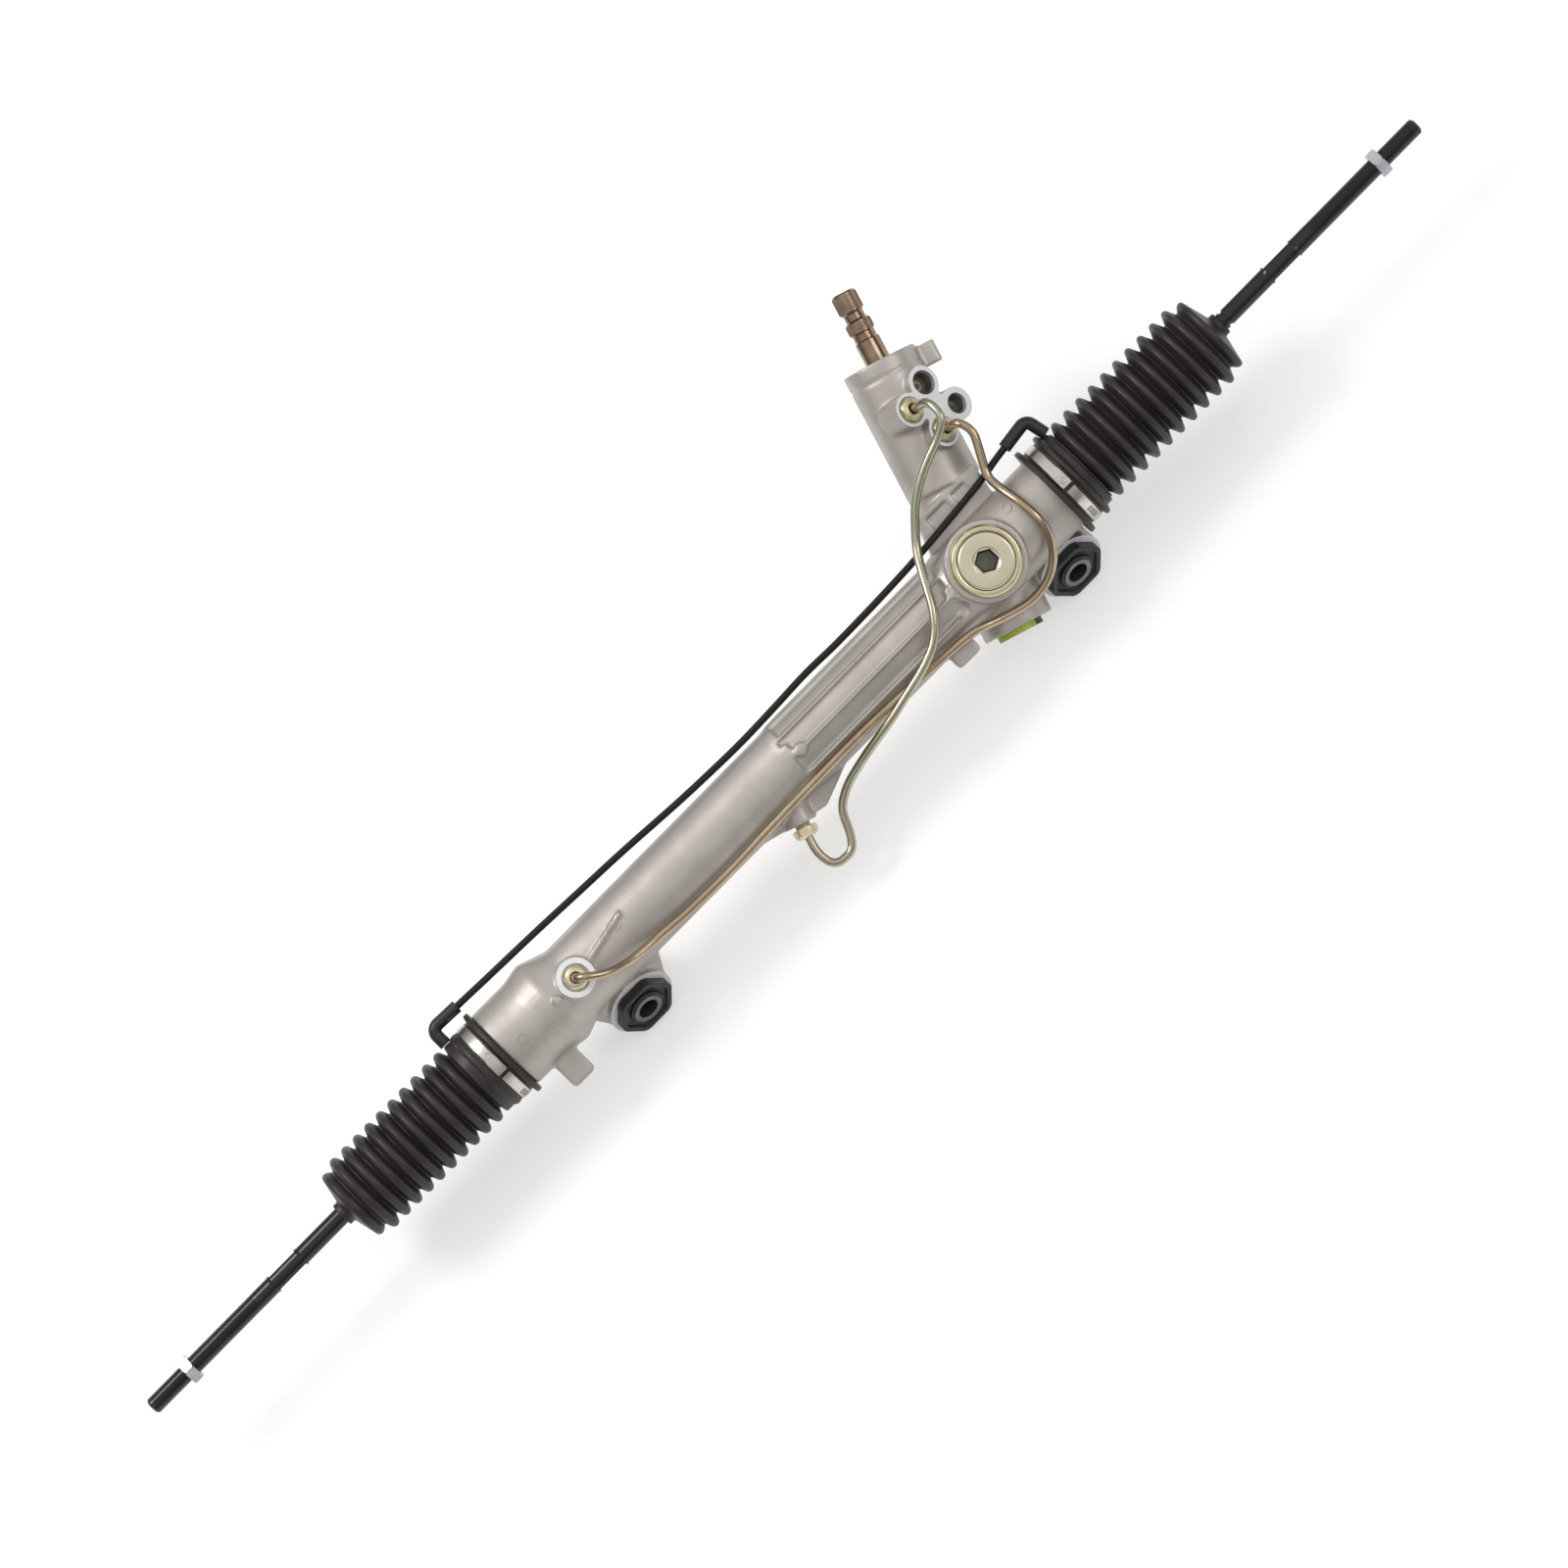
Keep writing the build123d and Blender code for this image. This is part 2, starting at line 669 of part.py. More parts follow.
with BuildPart() as yoke_plug:
    with BuildSketch(yoke_section(plug_bottom)):
        Circle(plug_radius)
    extrude(amount=plug_top - plug_bottom)
    chamfer(yoke_plug.edges().filter_by(GeomType.CIRCLE).sort_by(Axis(spot(yoke_x, 0, 0), to_yoke))[-1], 0.8)
    with BuildSketch(yoke_section(plug_top)):
        RegularPolygon(plug_socket_across / 2, 6, major_radius=False)
    extrude(amount=-plug_socket_depth, mode=Mode.SUBTRACT)
    with BuildSketch(yoke_section(plug_bottom)):
        Circle(spring_radius + spring_wire + 0.5)
    extrude(amount=spring_top - plug_bottom, mode=Mode.SUBTRACT)

with BuildPart() as yoke_locknut:
    with BuildSketch(yoke_section(yoke_boss_top)):
        Circle(locknut_radius)
    extrude(amount=locknut_height)
    fillet(yoke_locknut.edges().filter_by(GeomType.CIRCLE).sort_by(Axis(spot(yoke_x, 0, 0), to_yoke))[-1], 2)
    with BuildSketch(yoke_section(yoke_boss_top)):
        Circle(plug_radius + seat_fit)
    extrude(amount=locknut_height, mode=Mode.SUBTRACT)


# Rack bar: round bar with straight teeth on the side away from the yoke.
def gap_outline(centre, half_width_at_line, slope):
    """Gap between two rack teeth, open past the tooth tips."""
    root = rack_line_depth - pinion_addendum - root_clearance
    over = rack_radius + 1
    root_half = half_width_at_line - (rack_line_depth - root) * slope
    mouth_half = half_width_at_line + (over - rack_line_depth) * slope
    return [
        (centre - root_half, root),
        (centre + root_half, root),
        (centre + mouth_half, over),
        (centre - mouth_half, over),
    ]


tooth_plane = Plane(origin=spot(0, 0, 0), x_dir=along_rack, z_dir=to_tower)
with BuildPart() as rack_bar:
    with BuildSketch(rack_section(rack_left_end)):
        Circle(rack_radius)
    extrude(amount=rack_right_end - rack_left_end)
    toothed_half = rack_teeth * rack_pitch / 2
    with BuildSketch(tooth_plane):
        with Locations((yoke_x, rack_line_depth + rack_addendum + rack_radius / 2)):
            Rectangle(2 * toothed_half, rack_radius)
    extrude(amount=rack_radius + 1, both=True, mode=Mode.SUBTRACT)
    with BuildSketch(tooth_plane):
        for tooth in range(rack_teeth):
            gap_centre = yoke_x + (tooth - (rack_teeth - 1) / 2) * rack_pitch
            Polygon(*gap_outline(gap_centre, rack_pitch / 4, tan(radians(pressure_angle))))
    extrude(amount=rack_radius + 1, both=True, mode=Mode.SUBTRACT)
    for end, way in ((rack_left_end, 1), (rack_right_end, -1)):
        with BuildSketch(rack_section(end)):
            Circle(socket_stud_radius + seat_fit)
        extrude(amount=way * (socket_stud_length + 1), mode=Mode.SUBTRACT)

# Piston fixed on the bar, with its ring
with BuildPart() as rack_piston:
    with BuildSketch(rack_section(piston_x - piston_width / 2)):
        Circle(cylinder_bore - 0.3)
        Circle(rack_radius + seat_fit, mode=Mode.SUBTRACT)
    extrude(amount=piston_width)
    with BuildSketch(rack_section(piston_x - piston_ring_width / 2 - 0.05)):
        Circle(cylinder_bore + 1)
        Circle(cylinder_bore - 0.3 - piston_ring_depth, mode=Mode.SUBTRACT)
    extrude(amount=piston_ring_width + 0.1, mode=Mode.SUBTRACT)

piston_ring = rack_ring(
    piston_x - piston_ring_width / 2,
    piston_x + piston_ring_width / 2,
    cylinder_bore - 0.3 - piston_ring_depth + seat_fit,
    cylinder_bore - running_fit,
)

# Seals and guides in the cylinder tube
ring_place = cylinder_start + 2
bushing_start = ring_place + snap_height + 0.2
rack_bushing = rack_ring(
    bushing_start, bushing_start + bushing_length, rack_radius + running_fit, cylinder_bore - seat_fit
)
outer_rack_seal = rack_ring(
    bushing_start + bushing_length,
    bushing_start + bushing_length + seal_length,
    rack_radius + running_fit,
    cylinder_bore - seat_fit,
)
inner_rack_seal = rack_ring(
    cylinder_end - 10 - seal_length, cylinder_end - 10, rack_radius + running_fit, cylinder_bore - seat_fit
)
seal_spacer = rack_ring(cylinder_end - 10, cylinder_end, rack_radius + running_fit, cylinder_bore - seat_fit)


def split_ring(plane, thickness, inner, outer):
    """Flat spring ring with a gap."""
    with BuildPart() as ring:
        with BuildSketch(plane):
            Circle(outer)
            Circle(inner, mode=Mode.SUBTRACT)
            with Locations((0, (inner + outer) / 2)):
                Rectangle(8, outer - inner + 4, mode=Mode.SUBTRACT)
        extrude(amount=thickness)
    return ring


bushing_ring = split_ring(
    rack_section(ring_place + 0.1), snap_height, cylinder_bore - 3, cylinder_bore + snap_depth - 0.05
)


# Inner ball joints: socket screwed into the rack end, plastic seat, rod with its ball.
def ball_plane(ball_x, way):
    """Plane through a ball centre, with x outwards along the rod."""
    return Plane(origin=spot(ball_x, 0, 0), x_dir=along_rack * way, z_dir=to_yoke)


def ball_socket(ball_x, way):
    plane = ball_plane(ball_x, way)
    with BuildPart() as socket:
        with BuildSketch(plane):
            with BuildLine():
                FilletPolyline(
                    (-socket_depth - socket_stud_length, 0),
                    (-socket_depth - socket_stud_length, socket_stud_radius),
                    (-socket_depth, socket_stud_radius),
                    (-socket_depth, rack_radius + 2),
                    (-socket_depth + 8, rack_radius + 2),
                    (-ball_radius - 2, socket_radius),
                    (socket_mouth - 4, socket_radius),
                    (socket_mouth, socket_cavity - 1),
                    (socket_mouth, 0),
                    radius=[0, 0, 0.8, 3, 5, 3, 0],
                )
                Line((socket_mouth, 0), (-socket_depth - socket_stud_length, 0))
            make_face()
        revolve(axis=rack_axis)
        shoulder = spot(ball_x - way * socket_depth, 0, 0)
        with BuildSketch(Plane(origin=shoulder, x_dir=to_tower, z_dir=along_rack * way)):
            Rectangle(60, 60)
            Rectangle(2 * rack_radius - 1, 60, mode=Mode.SUBTRACT)
        extrude(amount=7, mode=Mode.SUBTRACT)
        with Locations(Plane(origin=spot(ball_x, 0, 0), x_dir=to_tower, z_dir=along_rack * way)):
            Sphere(socket_cavity, mode=Mode.SUBTRACT)
    return socket


def ball_seat(ball_x, way):
    with BuildPart() as seat:
        with Locations(Plane(origin=spot(ball_x, 0, 0), x_dir=to_tower, z_dir=along_rack * way)):
            Sphere(seat_outer)
            Sphere(ball_radius + running_fit, mode=Mode.SUBTRACT)
        with BuildSketch(Plane(origin=spot(ball_x + way * 6.5, 0, 0), x_dir=to_tower, z_dir=along_rack * way)):
            Circle(seat_outer + 1)
        extrude(amount=seat_outer, mode=Mode.SUBTRACT)
        with BuildSketch(Plane(origin=spot(ball_x - way * 10, 0, 0), x_dir=to_tower, z_dir=along_rack * -way)):
            Circle(seat_outer + 1)
        extrude(amount=seat_outer, mode=Mode.SUBTRACT)
    return seat


def tie_rod(ball_x, way):
    plane = ball_plane(ball_x, way)
    neck_radius = rod_radius - 0.4
    ball_cut = sqrt(ball_radius**2 - neck_radius**2)
    with BuildPart() as rod:
        with BuildSketch(plane):
            with BuildLine():
                Polyline(
                    (ball_cut, neck_radius),
                    (21.0, neck_radius),
                    (23.0, rod_radius),
                    (24.5, rod_radius),
                    (24.5, neck_radius - 0.6),
                    (27.0, neck_radius - 0.6),
                    (27.0, rod_radius),
                    (rod_flats_start - 2, rod_radius),
                    (rod_flats_start, rod_flats_radius),
                    (rod_flats_end, rod_flats_radius),
                    (rod_flats_end + 2, rod_radius),
                    (rod_thread_start - 2, rod_radius),
                    (rod_thread_start, rod_thread_radius),
                    (rod_tip_start, rod_thread_radius),
                    (rod_tip_start, rod_tip_radius),
                    (tie_rod_reach - rod_tip_chamfer, rod_tip_radius),
                    (tie_rod_reach, rod_tip_radius - rod_tip_chamfer),
                    (tie_rod_reach, 0),
                    (-ball_radius, 0),
                )
                RadiusArc((-ball_radius, 0), (ball_cut, neck_radius), ball_radius)
            make_face()
        revolve(axis=rack_axis)
        flats_start = spot(ball_x + way * rod_flats_start, 0, 0)
        with BuildSketch(Plane(origin=flats_start, x_dir=to_tower, z_dir=along_rack * way)):
            Circle(rod_flats_radius + 1)
            Rectangle(rod_flats_across, 3 * rod_flats_radius, mode=Mode.SUBTRACT)
        extrude(amount=rod_flats_end - rod_flats_start, mode=Mode.SUBTRACT)
    return rod


def jam_nut(ball_x, way):
    start = jam_nut_place - jam_nut_thickness / 2
    face = Plane(origin=spot(ball_x + way * start, 0, 0), x_dir=to_yoke, z_dir=along_rack * way)
    with BuildPart() as nut:
        with BuildSketch(face):
            Circle(jam_nut_across / sqrt(3) - 0.15)
        extrude(amount=jam_nut_thickness)
        chamfer(nut.edges().filter_by(GeomType.CIRCLE), 1.0)
        with BuildSketch(face):
            RegularPolygon(jam_nut_across / 2, 6, major_radius=False)
        extrude(amount=jam_nut_thickness, mode=Mode.INTERSECT)
        with BuildSketch(face):
            Circle(rod_thread_radius + seat_fit)
        extrude(amount=jam_nut_thickness, mode=Mode.SUBTRACT)
    return nut


left_ball_socket = ball_socket(left_ball_x, -1)
right_ball_socket = ball_socket(right_ball_x, 1)
left_ball_seat = ball_seat(left_ball_x, -1)
right_ball_seat = ball_seat(right_ball_x, 1)
left_tie_rod = tie_rod(left_ball_x, -1)
right_tie_rod = tie_rod(right_ball_x, 1)
left_jam_nut = jam_nut(left_ball_x, -1)
right_jam_nut = jam_nut(right_ball_x, 1)

# Pinion: eight involute teeth on a helix that matches the skew, cut for straight rack teeth.
transverse_pressure = atan(tan(radians(pressure_angle)) / cos(skew))
base_radius = pitch_radius * cos(transverse_pressure)
transverse_module = tooth_module / cos(skew)
tooth_thickness = (
    transverse_module * pi / 2
    + 2 * profile_shift * tooth_module * tan(transverse_pressure)
    - backlash
)
twist = degrees(pinion_face * tan(skew) / pitch_radius)


def involute(angle):
    return tan(angle) - angle


def half_tooth_angle(radius):
    """Half of a tooth's width at a radius, as an angle at the pinion's centre."""
    spread = involute(transverse_pressure) - involute(acos(base_radius / radius))
    return tooth_thickness / (2 * pitch_radius) + spread


def polar(radius, angle):
    return (radius * cos(angle), radius * sin(angle))


flank_start = base_radius + 0.02
flank_steps = 4
flank_radii = [flank_start + (pinion_tip - flank_start) * i / flank_steps for i in range(flank_steps + 1)]
with BuildSketch() as pinion_outline:
    with BuildLine():
        for tooth in range(pinion_teeth):
            middle = 2 * pi * tooth / pinion_teeth
            half_base = half_tooth_angle(flank_start)
            half_tip = half_tooth_angle(pinion_tip)
            Line(polar(pinion_root, middle - half_base), polar(flank_start, middle - half_base))
            Spline(*[polar(r, middle - half_tooth_angle(r)) for r in flank_radii])
            ThreePointArc(
                polar(pinion_tip, middle - half_tip),
                polar(pinion_tip, middle),
                polar(pinion_tip, middle + half_tip),
            )
            Spline(*[polar(r, middle + half_tooth_angle(r)) for r in reversed(flank_radii)])
            Line(polar(flank_start, middle + half_base), polar(pinion_root, middle + half_base))
            ThreePointArc(
                polar(pinion_root, middle + half_base),
                polar(pinion_root, middle + pi / pinion_teeth),
                polar(pinion_root, middle + 2 * pi / pinion_teeth - half_base),
            )
    make_face()

# The helix runs so that a tooth centre points at the rack where the axes cross.
start_turn = radians(twist / 2 - 90)
gear_start = Plane(
    origin=pinion_foot - pinion_axis * (pinion_face / 2),
    x_dir=pinion_side * cos(start_turn) - to_yoke * sin(start_turn),
    z_dir=pinion_axis,
)
gear_face = gear_start.from_local_coords(pinion_outline.face())
gear_body = Solid.extrude_linear_with_rotation(
    gear_face, gear_start.origin, pinion_axis * pinion_face, -twist
)
pinion_bottom = lower_bearing_bottom - 6.5
with BuildPart() as pinion:
    add(gear_body)
    with BuildSketch(tower_section(pinion_bottom)):
        Circle(lower_journal_radius)
    extrude(amount=-pinion_bottom - pinion_face / 2)
    with BuildSketch(tower_section(lower_bore_top)):
        Circle(lower_journal_radius + 2)
    extrude(amount=-pinion_face / 2 - lower_bore_top)
    with BuildSketch(tower_section(pinion_face / 2)):
        Circle(upper_journal_radius)
    extrude(amount=valve_bore_bottom - pinion_face / 2)
    with BuildSketch(tower_section(valve_bore_bottom)):
        Circle(head_radius)
    extrude(amount=head_top - valve_bore_bottom)
    with BuildSketch(tower_section(head_top)):
        Circle(shaft_radius - 0.3 + running_fit)
    extrude(amount=shaft_lower_end - head_top - 1, mode=Mode.SUBTRACT)
    with BuildSketch(tower_section(head_top)):
        Circle(torsion_bar_radius + seat_fit)
    extrude(amount=-head_top + pinion_face / 2 + 3, mode=Mode.SUBTRACT)

with BuildPart() as pinion_locknut:
    with BuildSketch(tower_section(lower_bearing_bottom - 5)):
        RegularPolygon(lower_journal_radius + 3.2, 6, major_radius=False)
        Circle(lower_journal_radius + seat_fit, mode=Mode.SUBTRACT)
    extrude(amount=5)


# Ball bearing at the pinion's foot and needle bearing above its teeth
def bearing_race(inner, outer):
    with BuildPart() as race:
        with BuildSketch(tower_section(lower_bearing_bottom)):
            Circle(outer)
            Circle(inner, mode=Mode.SUBTRACT)
        extrude(amount=lower_bearing_height)
        with BuildSketch(tower_face(0)):
            with Locations((ball_circle, lower_bearing_bottom + lower_bearing_height / 2)):
                Circle(bearing_ball_radius + running_fit)
        revolve(axis=tower_axis, mode=Mode.SUBTRACT)
    return race


lower_bearing_outer = bearing_race(ball_circle + 1.2, lower_bearing_radius)
lower_bearing_inner = bearing_race(lower_journal_radius + seat_fit, ball_circle - 1.2)
with BuildPart() as lower_bearing_balls:
    with Locations(tower_section(lower_bearing_bottom + lower_bearing_height / 2)):
        with PolarLocations(ball_circle, bearing_balls):
            Sphere(bearing_ball_radius)
upper_bearing = tower_ring(
    upper_bearing_bottom,
    upper_bearing_bottom + upper_bearing_height,
    upper_journal_radius + running_fit,
    upper_bearing_radius,
)

with BuildPart() as pinion_end_cap:
    with BuildSketch(tower_section(foot_bottom - 4)):
        Circle(lower_bearing_radius)
    extrude(amount=7)
    with BuildSketch(tower_section(foot_bottom - 4)):
        RegularPolygon(5, 6, major_radius=False)
    extrude(amount=3, mode=Mode.SUBTRACT)

# Rotary valve: sleeve on the pinion head with its seal rings, torsion bar and pin
ring_places = [head_top + 7 + i * valve_ring_pitch for i in range(valve_ring_count)]
with BuildPart() as valve_sleeve:
    with BuildSketch(tower_section(head_top)):
        Circle(valve_sleeve_radius)
        Circle(spool_radius + running_fit, mode=Mode.SUBTRACT)
    extrude(amount=valve_sleeve_height)
    for ring_bottom in ring_places:
        with BuildSketch(tower_section(ring_bottom - 0.05)):
            Circle(valve_bore)
            Circle(valve_sleeve_radius - ring_groove_depth, mode=Mode.SUBTRACT)
        extrude(amount=ring_height + 0.1, mode=Mode.SUBTRACT)
    for ring_bottom in ring_places[:-1]:
        groove_bottom = ring_bottom + ring_height + 4
        with BuildSketch(tower_section(groove_bottom)):
            Circle(valve_bore)
            Circle(valve_sleeve_radius - 1.6, mode=Mode.SUBTRACT)
        extrude(amount=valve_ring_pitch - ring_height - 8, mode=Mode.SUBTRACT)
        hole_centre = pinion_foot + pinion_axis * (ring_bottom + (valve_ring_pitch + ring_height) / 2)
        for hole_way in (pinion_side, to_yoke):
            with BuildSketch(Plane(origin=hole_centre, x_dir=pinion_axis, z_dir=hole_way)):
                Circle(1.8)
            extrude(amount=valve_bore, both=True, mode=Mode.SUBTRACT)

with BuildPart() as valve_rings:
    for ring_bottom in ring_places:
        with BuildSketch(tower_section(ring_bottom)):
            Circle(valve_bore - running_fit)
            Circle(valve_sleeve_radius - ring_groove_depth + seat_fit, mode=Mode.SUBTRACT)
        extrude(amount=ring_height)

pin_height = shaft_head_start + 6
torsion_bar_bottom = pinion_face / 2 + 3.5
pin_plane = Plane(origin=pinion_foot + pinion_axis * pin_height, x_dir=pinion_axis, z_dir=pinion_side)
with BuildPart() as torsion_bar:
    with BuildSketch(tower_section(torsion_bar_bottom)):
        Circle(torsion_bar_radius)
    extrude(amount=shaft_top - 1 - torsion_bar_bottom)
    with BuildSketch(pin_plane):
        Circle(torsion_pin_radius + torsion_pin_gap)
    extrude(amount=torsion_bar_radius + 1, both=True, mode=Mode.SUBTRACT)

with BuildPart() as torsion_pin:
    with BuildSketch(pin_plane):
        Circle(torsion_pin_radius - seat_fit)
    extrude(amount=shaft_head_radius - 1, both=True)

# Input shaft with the valve spool at its foot and the coupling head at its top
spool_bottom = head_top + 1
spool_top = head_top + valve_sleeve_height
with BuildPart() as input_shaft:
    with BuildSketch(tower_face(0)):
        with BuildLine():
            Polyline(
                (0, shaft_lower_end),
                (shaft_radius - 0.3, shaft_lower_end),
                (shaft_radius - 0.3, spool_bottom),
                (spool_radius, spool_bottom),
                (spool_radius, spool_top),
                (shaft_radius, spool_top + 1),
                (shaft_radius, tower_top + shaft_groove_reach),
                (shaft_radius - 1, tower_top + shaft_groove_reach + 1),
                (shaft_radius - 1, shaft_collar_start - 1),
                (shaft_radius, shaft_collar_start),
                (shaft_radius, shaft_neck_start - 1.5),
                (shaft_neck_radius, shaft_neck_start),
                (shaft_neck_radius, shaft_head_start - 1.5),
                (shaft_head_radius, shaft_head_start),
                (shaft_head_radius, shaft_top - 1.2),
                (shaft_head_radius - 1.2, shaft_top),
                (0, shaft_top),
                close=True,
            )
        make_face()
    revolve(axis=tower_axis)
    # Lengthwise valve slots of the spool
    with BuildSketch(tower_section(spool_bottom + 8)):
        with PolarLocations(spool_radius, 6):
            Rectangle(2.4, 4)
    extrude(amount=valve_sleeve_height - 16, mode=Mode.SUBTRACT)
    with BuildSketch(tower_section(shaft_lower_end)):
        Circle(torsion_bar_radius + torsion_bar_gap)
    extrude(amount=shaft_top - shaft_lower_end, mode=Mode.SUBTRACT)
    with BuildSketch(pin_plane):
        Circle(torsion_pin_radius)
    extrude(amount=shaft_head_radius - 1, both=True, mode=Mode.SUBTRACT)

# Cover of the valve bore with the upper bearing, the seal and the snap ring
with BuildPart() as valve_cover:
    with BuildSketch(tower_section(cover_bottom)):
        Circle(valve_bore - seat_fit)
        Circle(input_bearing_radius + seat_fit, mode=Mode.SUBTRACT)
    extrude(amount=input_bearing_height)
    with BuildSketch(tower_section(cover_bottom + input_bearing_height)):
        Circle(valve_bore - seat_fit)
        Circle(shaft_radius + 1.2, mode=Mode.SUBTRACT)
    extrude(amount=2)
    with BuildSketch(tower_section(cover_bottom + input_bearing_height + 2)):
        Circle(valve_bore - seat_fit)
        Circle(input_seal_radius + seat_fit, mode=Mode.SUBTRACT)
    extrude(amount=cover_height - input_bearing_height - 2)

input_bearing = tower_ring(
    cover_bottom, cover_bottom + input_bearing_height, shaft_radius + running_fit, input_bearing_radius
)
input_seal = tower_ring(
    cover_bottom + input_bearing_height + 2,
    cover_bottom + cover_height - 1,
    shaft_radius + running_fit,
    input_seal_radius,
)
snap_ring = split_ring(
    tower_section(cover_bottom + cover_height + 0.1), snap_height, valve_bore - 4, valve_bore + snap_depth - 0.05
)

# Flare seats at the bottom of the two hose ports
with BuildPart() as port_seats:
    for place in (return_spot, pressure_spot):
        with BuildSketch(port_plane(place).offset(-port_depth)):
            Circle(seat_radius)
        extrude(amount=-seat_length + 0.05)
        with BuildSketch(port_plane(place).offset(-port_depth)):
            Circle(drill_radius - 0.6)
        extrude(amount=-seat_length, mode=Mode.SUBTRACT)


# Hard lines: steel tubes bent along their route, each end in a tube nut.
def tube_nut(plane):
    """Hex nut whose thread fills the port below the plane."""
    with BuildPart() as nut:
        with BuildSketch(plane):
            Circle(nut_across / sqrt(3) - 0.2)
        extrude(amount=nut_head)
        chamfer(nut.edges().filter_by(GeomType.CIRCLE), 1.0)
        with BuildSketch(plane):
            RegularPolygon(nut_across / 2, 6, major_radius=False)
        extrude(amount=nut_head, mode=Mode.INTERSECT)
        with BuildSketch(plane):
            Circle(nut_thread_radius)
        extrude(amount=-nut_thread_length)
        with BuildSketch(plane.offset(-nut_thread_length)):
            Circle(line_radius + seat_fit)
        extrude(amount=nut_head + nut_thread_length, mode=Mode.SUBTRACT)
    return nut


def bent_tube(points, radii, radius):
    """Solid tube along straight runs joined by arcs."""
    with BuildPart() as tube:
        with BuildLine() as route:
            FilletPolyline(*points, radius=radii)
        path = route.wires()[0]
        with BuildSketch(Plane(origin=path @ 0, z_dir=path % 0)):
            Circle(radius)
        sweep(path=path)
    return tube


def route_radii(points, share=0.45):
    """Largest arcs that the runs on both sides of each corner allow."""
    radii = []
    for before, corner, after in zip(points, points[1:], points[2:]):
        run_in = corner - before
        run_out = after - corner
        turn = radians(run_in.get_angle(run_out))
        radii.append(share * min(run_in.length, run_out.length) / tan(turn / 2))
    return radii


middle_port_out = port_plane(middle_spot)
left_port_out = port_plane(left_spot)
tube_start = 1.5 - nut_thread_length - nut_recess
middle_route = [
    middle_port_out.origin + port_normal * tube_start,
    middle_port_out.origin + port_normal * 21,
    spot(yoke_x + 47, 86, 40),
    spot(yoke_x + 35, 79, 36),
    spot(yoke_x + 15, 72, 31),
    spot(yoke_x - 5, 61, 26),
    spot(yoke_x - 26, 39, 22),
    spot(yoke_x - 37.5, 20, 28),
    spot(yoke_x - 47, 2, 33),
    spot(yoke_x - 61, -13, 33),
    spot(yoke_x - 79, -20, 31.5),
    spot(yoke_x - 98, -24, 30),
    spot(middle_port_x + 77, -28.8, 25.5),
    spot(middle_port_x + 51, -32.5, 14),
    spot(middle_port_x + 28, -38, 5),
    spot(middle_port_x + 14, -46, 1.5),
    spot(middle_port_x + 7, -62, 0),
    spot(middle_port_x, -71, 0),
    spot(middle_port_x - 15, -70, 0),
    middle_port_plane.origin - pinion_axis * 22,
    middle_port_plane.origin - pinion_axis * (nut_stand + nut_recess + tube_start),
]
middle_line = bent_tube(middle_route, route_radii(middle_route), line_radius)
left_route = [
    left_port_out.origin + port_normal * tube_start,
    left_port_out.origin + port_normal * 17,
    spot(yoke_x + 55, 66, 23.5),
    spot(yoke_x + 48, 53, 22),
    spot(yoke_x + 40, 39, 20),
    spot(yoke_x + 40.5, 27, 23),
    spot(yoke_x + 43, 12, 31),
    spot(yoke_x + 44, -3, 33.5),
    spot(yoke_x + 41.5, -18, 28.5),
    spot(yoke_x + 32, -31, 20.5),
    spot(yoke_x + 18, -38.5, 15),
    spot(yoke_x + 1, -39.5, 13),
    spot(yoke_x - 18, -34, 14.5),
    spot(yoke_x - 36, -27, 19),
    spot(yoke_x - 53, -25, 20),
    spot(yoke_x - 93, -22.5, 22),
    spot(middle_port_x + 57, -20.5, 24),
    spot(middle_port_x + 10, -21, 23.5),
    spot(middle_port_x - 27, -21.7, 21.5),
    spot(left_port_x + 122, -23, 20.3),
    spot(left_port_x + 80, -22, 21.5),
    spot(left_port_x + 53, -19.5, 24),
    spot(left_port_x + 33, -18, 33),
    spot(left_port_x + 16, -13, 45.5),
    spot(left_port_x, 0, left_port_reach + 19),
    spot(left_port_x, 0, left_port_reach + tube_start),
]
left_line = bent_tube(left_route, route_radii(left_route), line_radius)
middle_line_nuts = [
    tube_nut(middle_port_out.offset(-nut_recess)),
    tube_nut(middle_port_plane.offset(nut_stand)),
]
left_line_nuts = [
    tube_nut(left_port_out.offset(-nut_recess)),
    tube_nut(left_port_plane.offset(-nut_recess)),
]


# Breather tube between the two bellows: its route, and the spigots that its elbows sit on
breather_route = [
    spot(left_housing_end + 4.5, 43, 0.5),
    spot(left_housing_end + 46.5, 41.3, 0),
    spot(left_housing_end + 87.5, 40, 1),
    spot(left_housing_end + 128.5, 38, 2),
    spot(left_housing_end + 163.5, 36.5, 2.5),
    spot(left_housing_end + 220.5, 32.4, 3.5),
    spot(middle_port_x - 2, 30.9, 4.5),
    spot(middle_port_x + 27.5, 31.6, 6),
    spot(middle_port_x + 62, 33, 6.5),
    spot(middle_port_x + 86.5, 32, 7.5),
    spot(yoke_x - 75, 32.3, 9),
    spot(yoke_x - 33, 33.6, 11),
    spot(yoke_x + 9, 37, 12.5),
    spot(yoke_x + 36, 39.5, 12.2),
    spot(yoke_x + 51, 42.3, 11),
    spot(yoke_x + 73.5, 45.2, 8.3),
]
breather_tube = bent_tube(breather_route, route_radii(breather_route), breather_radius)
left_tube_way = (breather_route[1] - breather_route[0]).normalized()
right_tube_way = (breather_route[-2] - breather_route[-1]).normalized()
left_spigot = spot(left_housing_end - 6.5, left_cuff_outer - 0.7, 0.5)
right_spigot = spot(right_housing_end + 0.5, right_cuff_outer - 0.4, 5)
left_corner = breather_route[0] - left_tube_way * elbow_arm
right_corner = breather_route[-1] - right_tube_way * elbow_arm
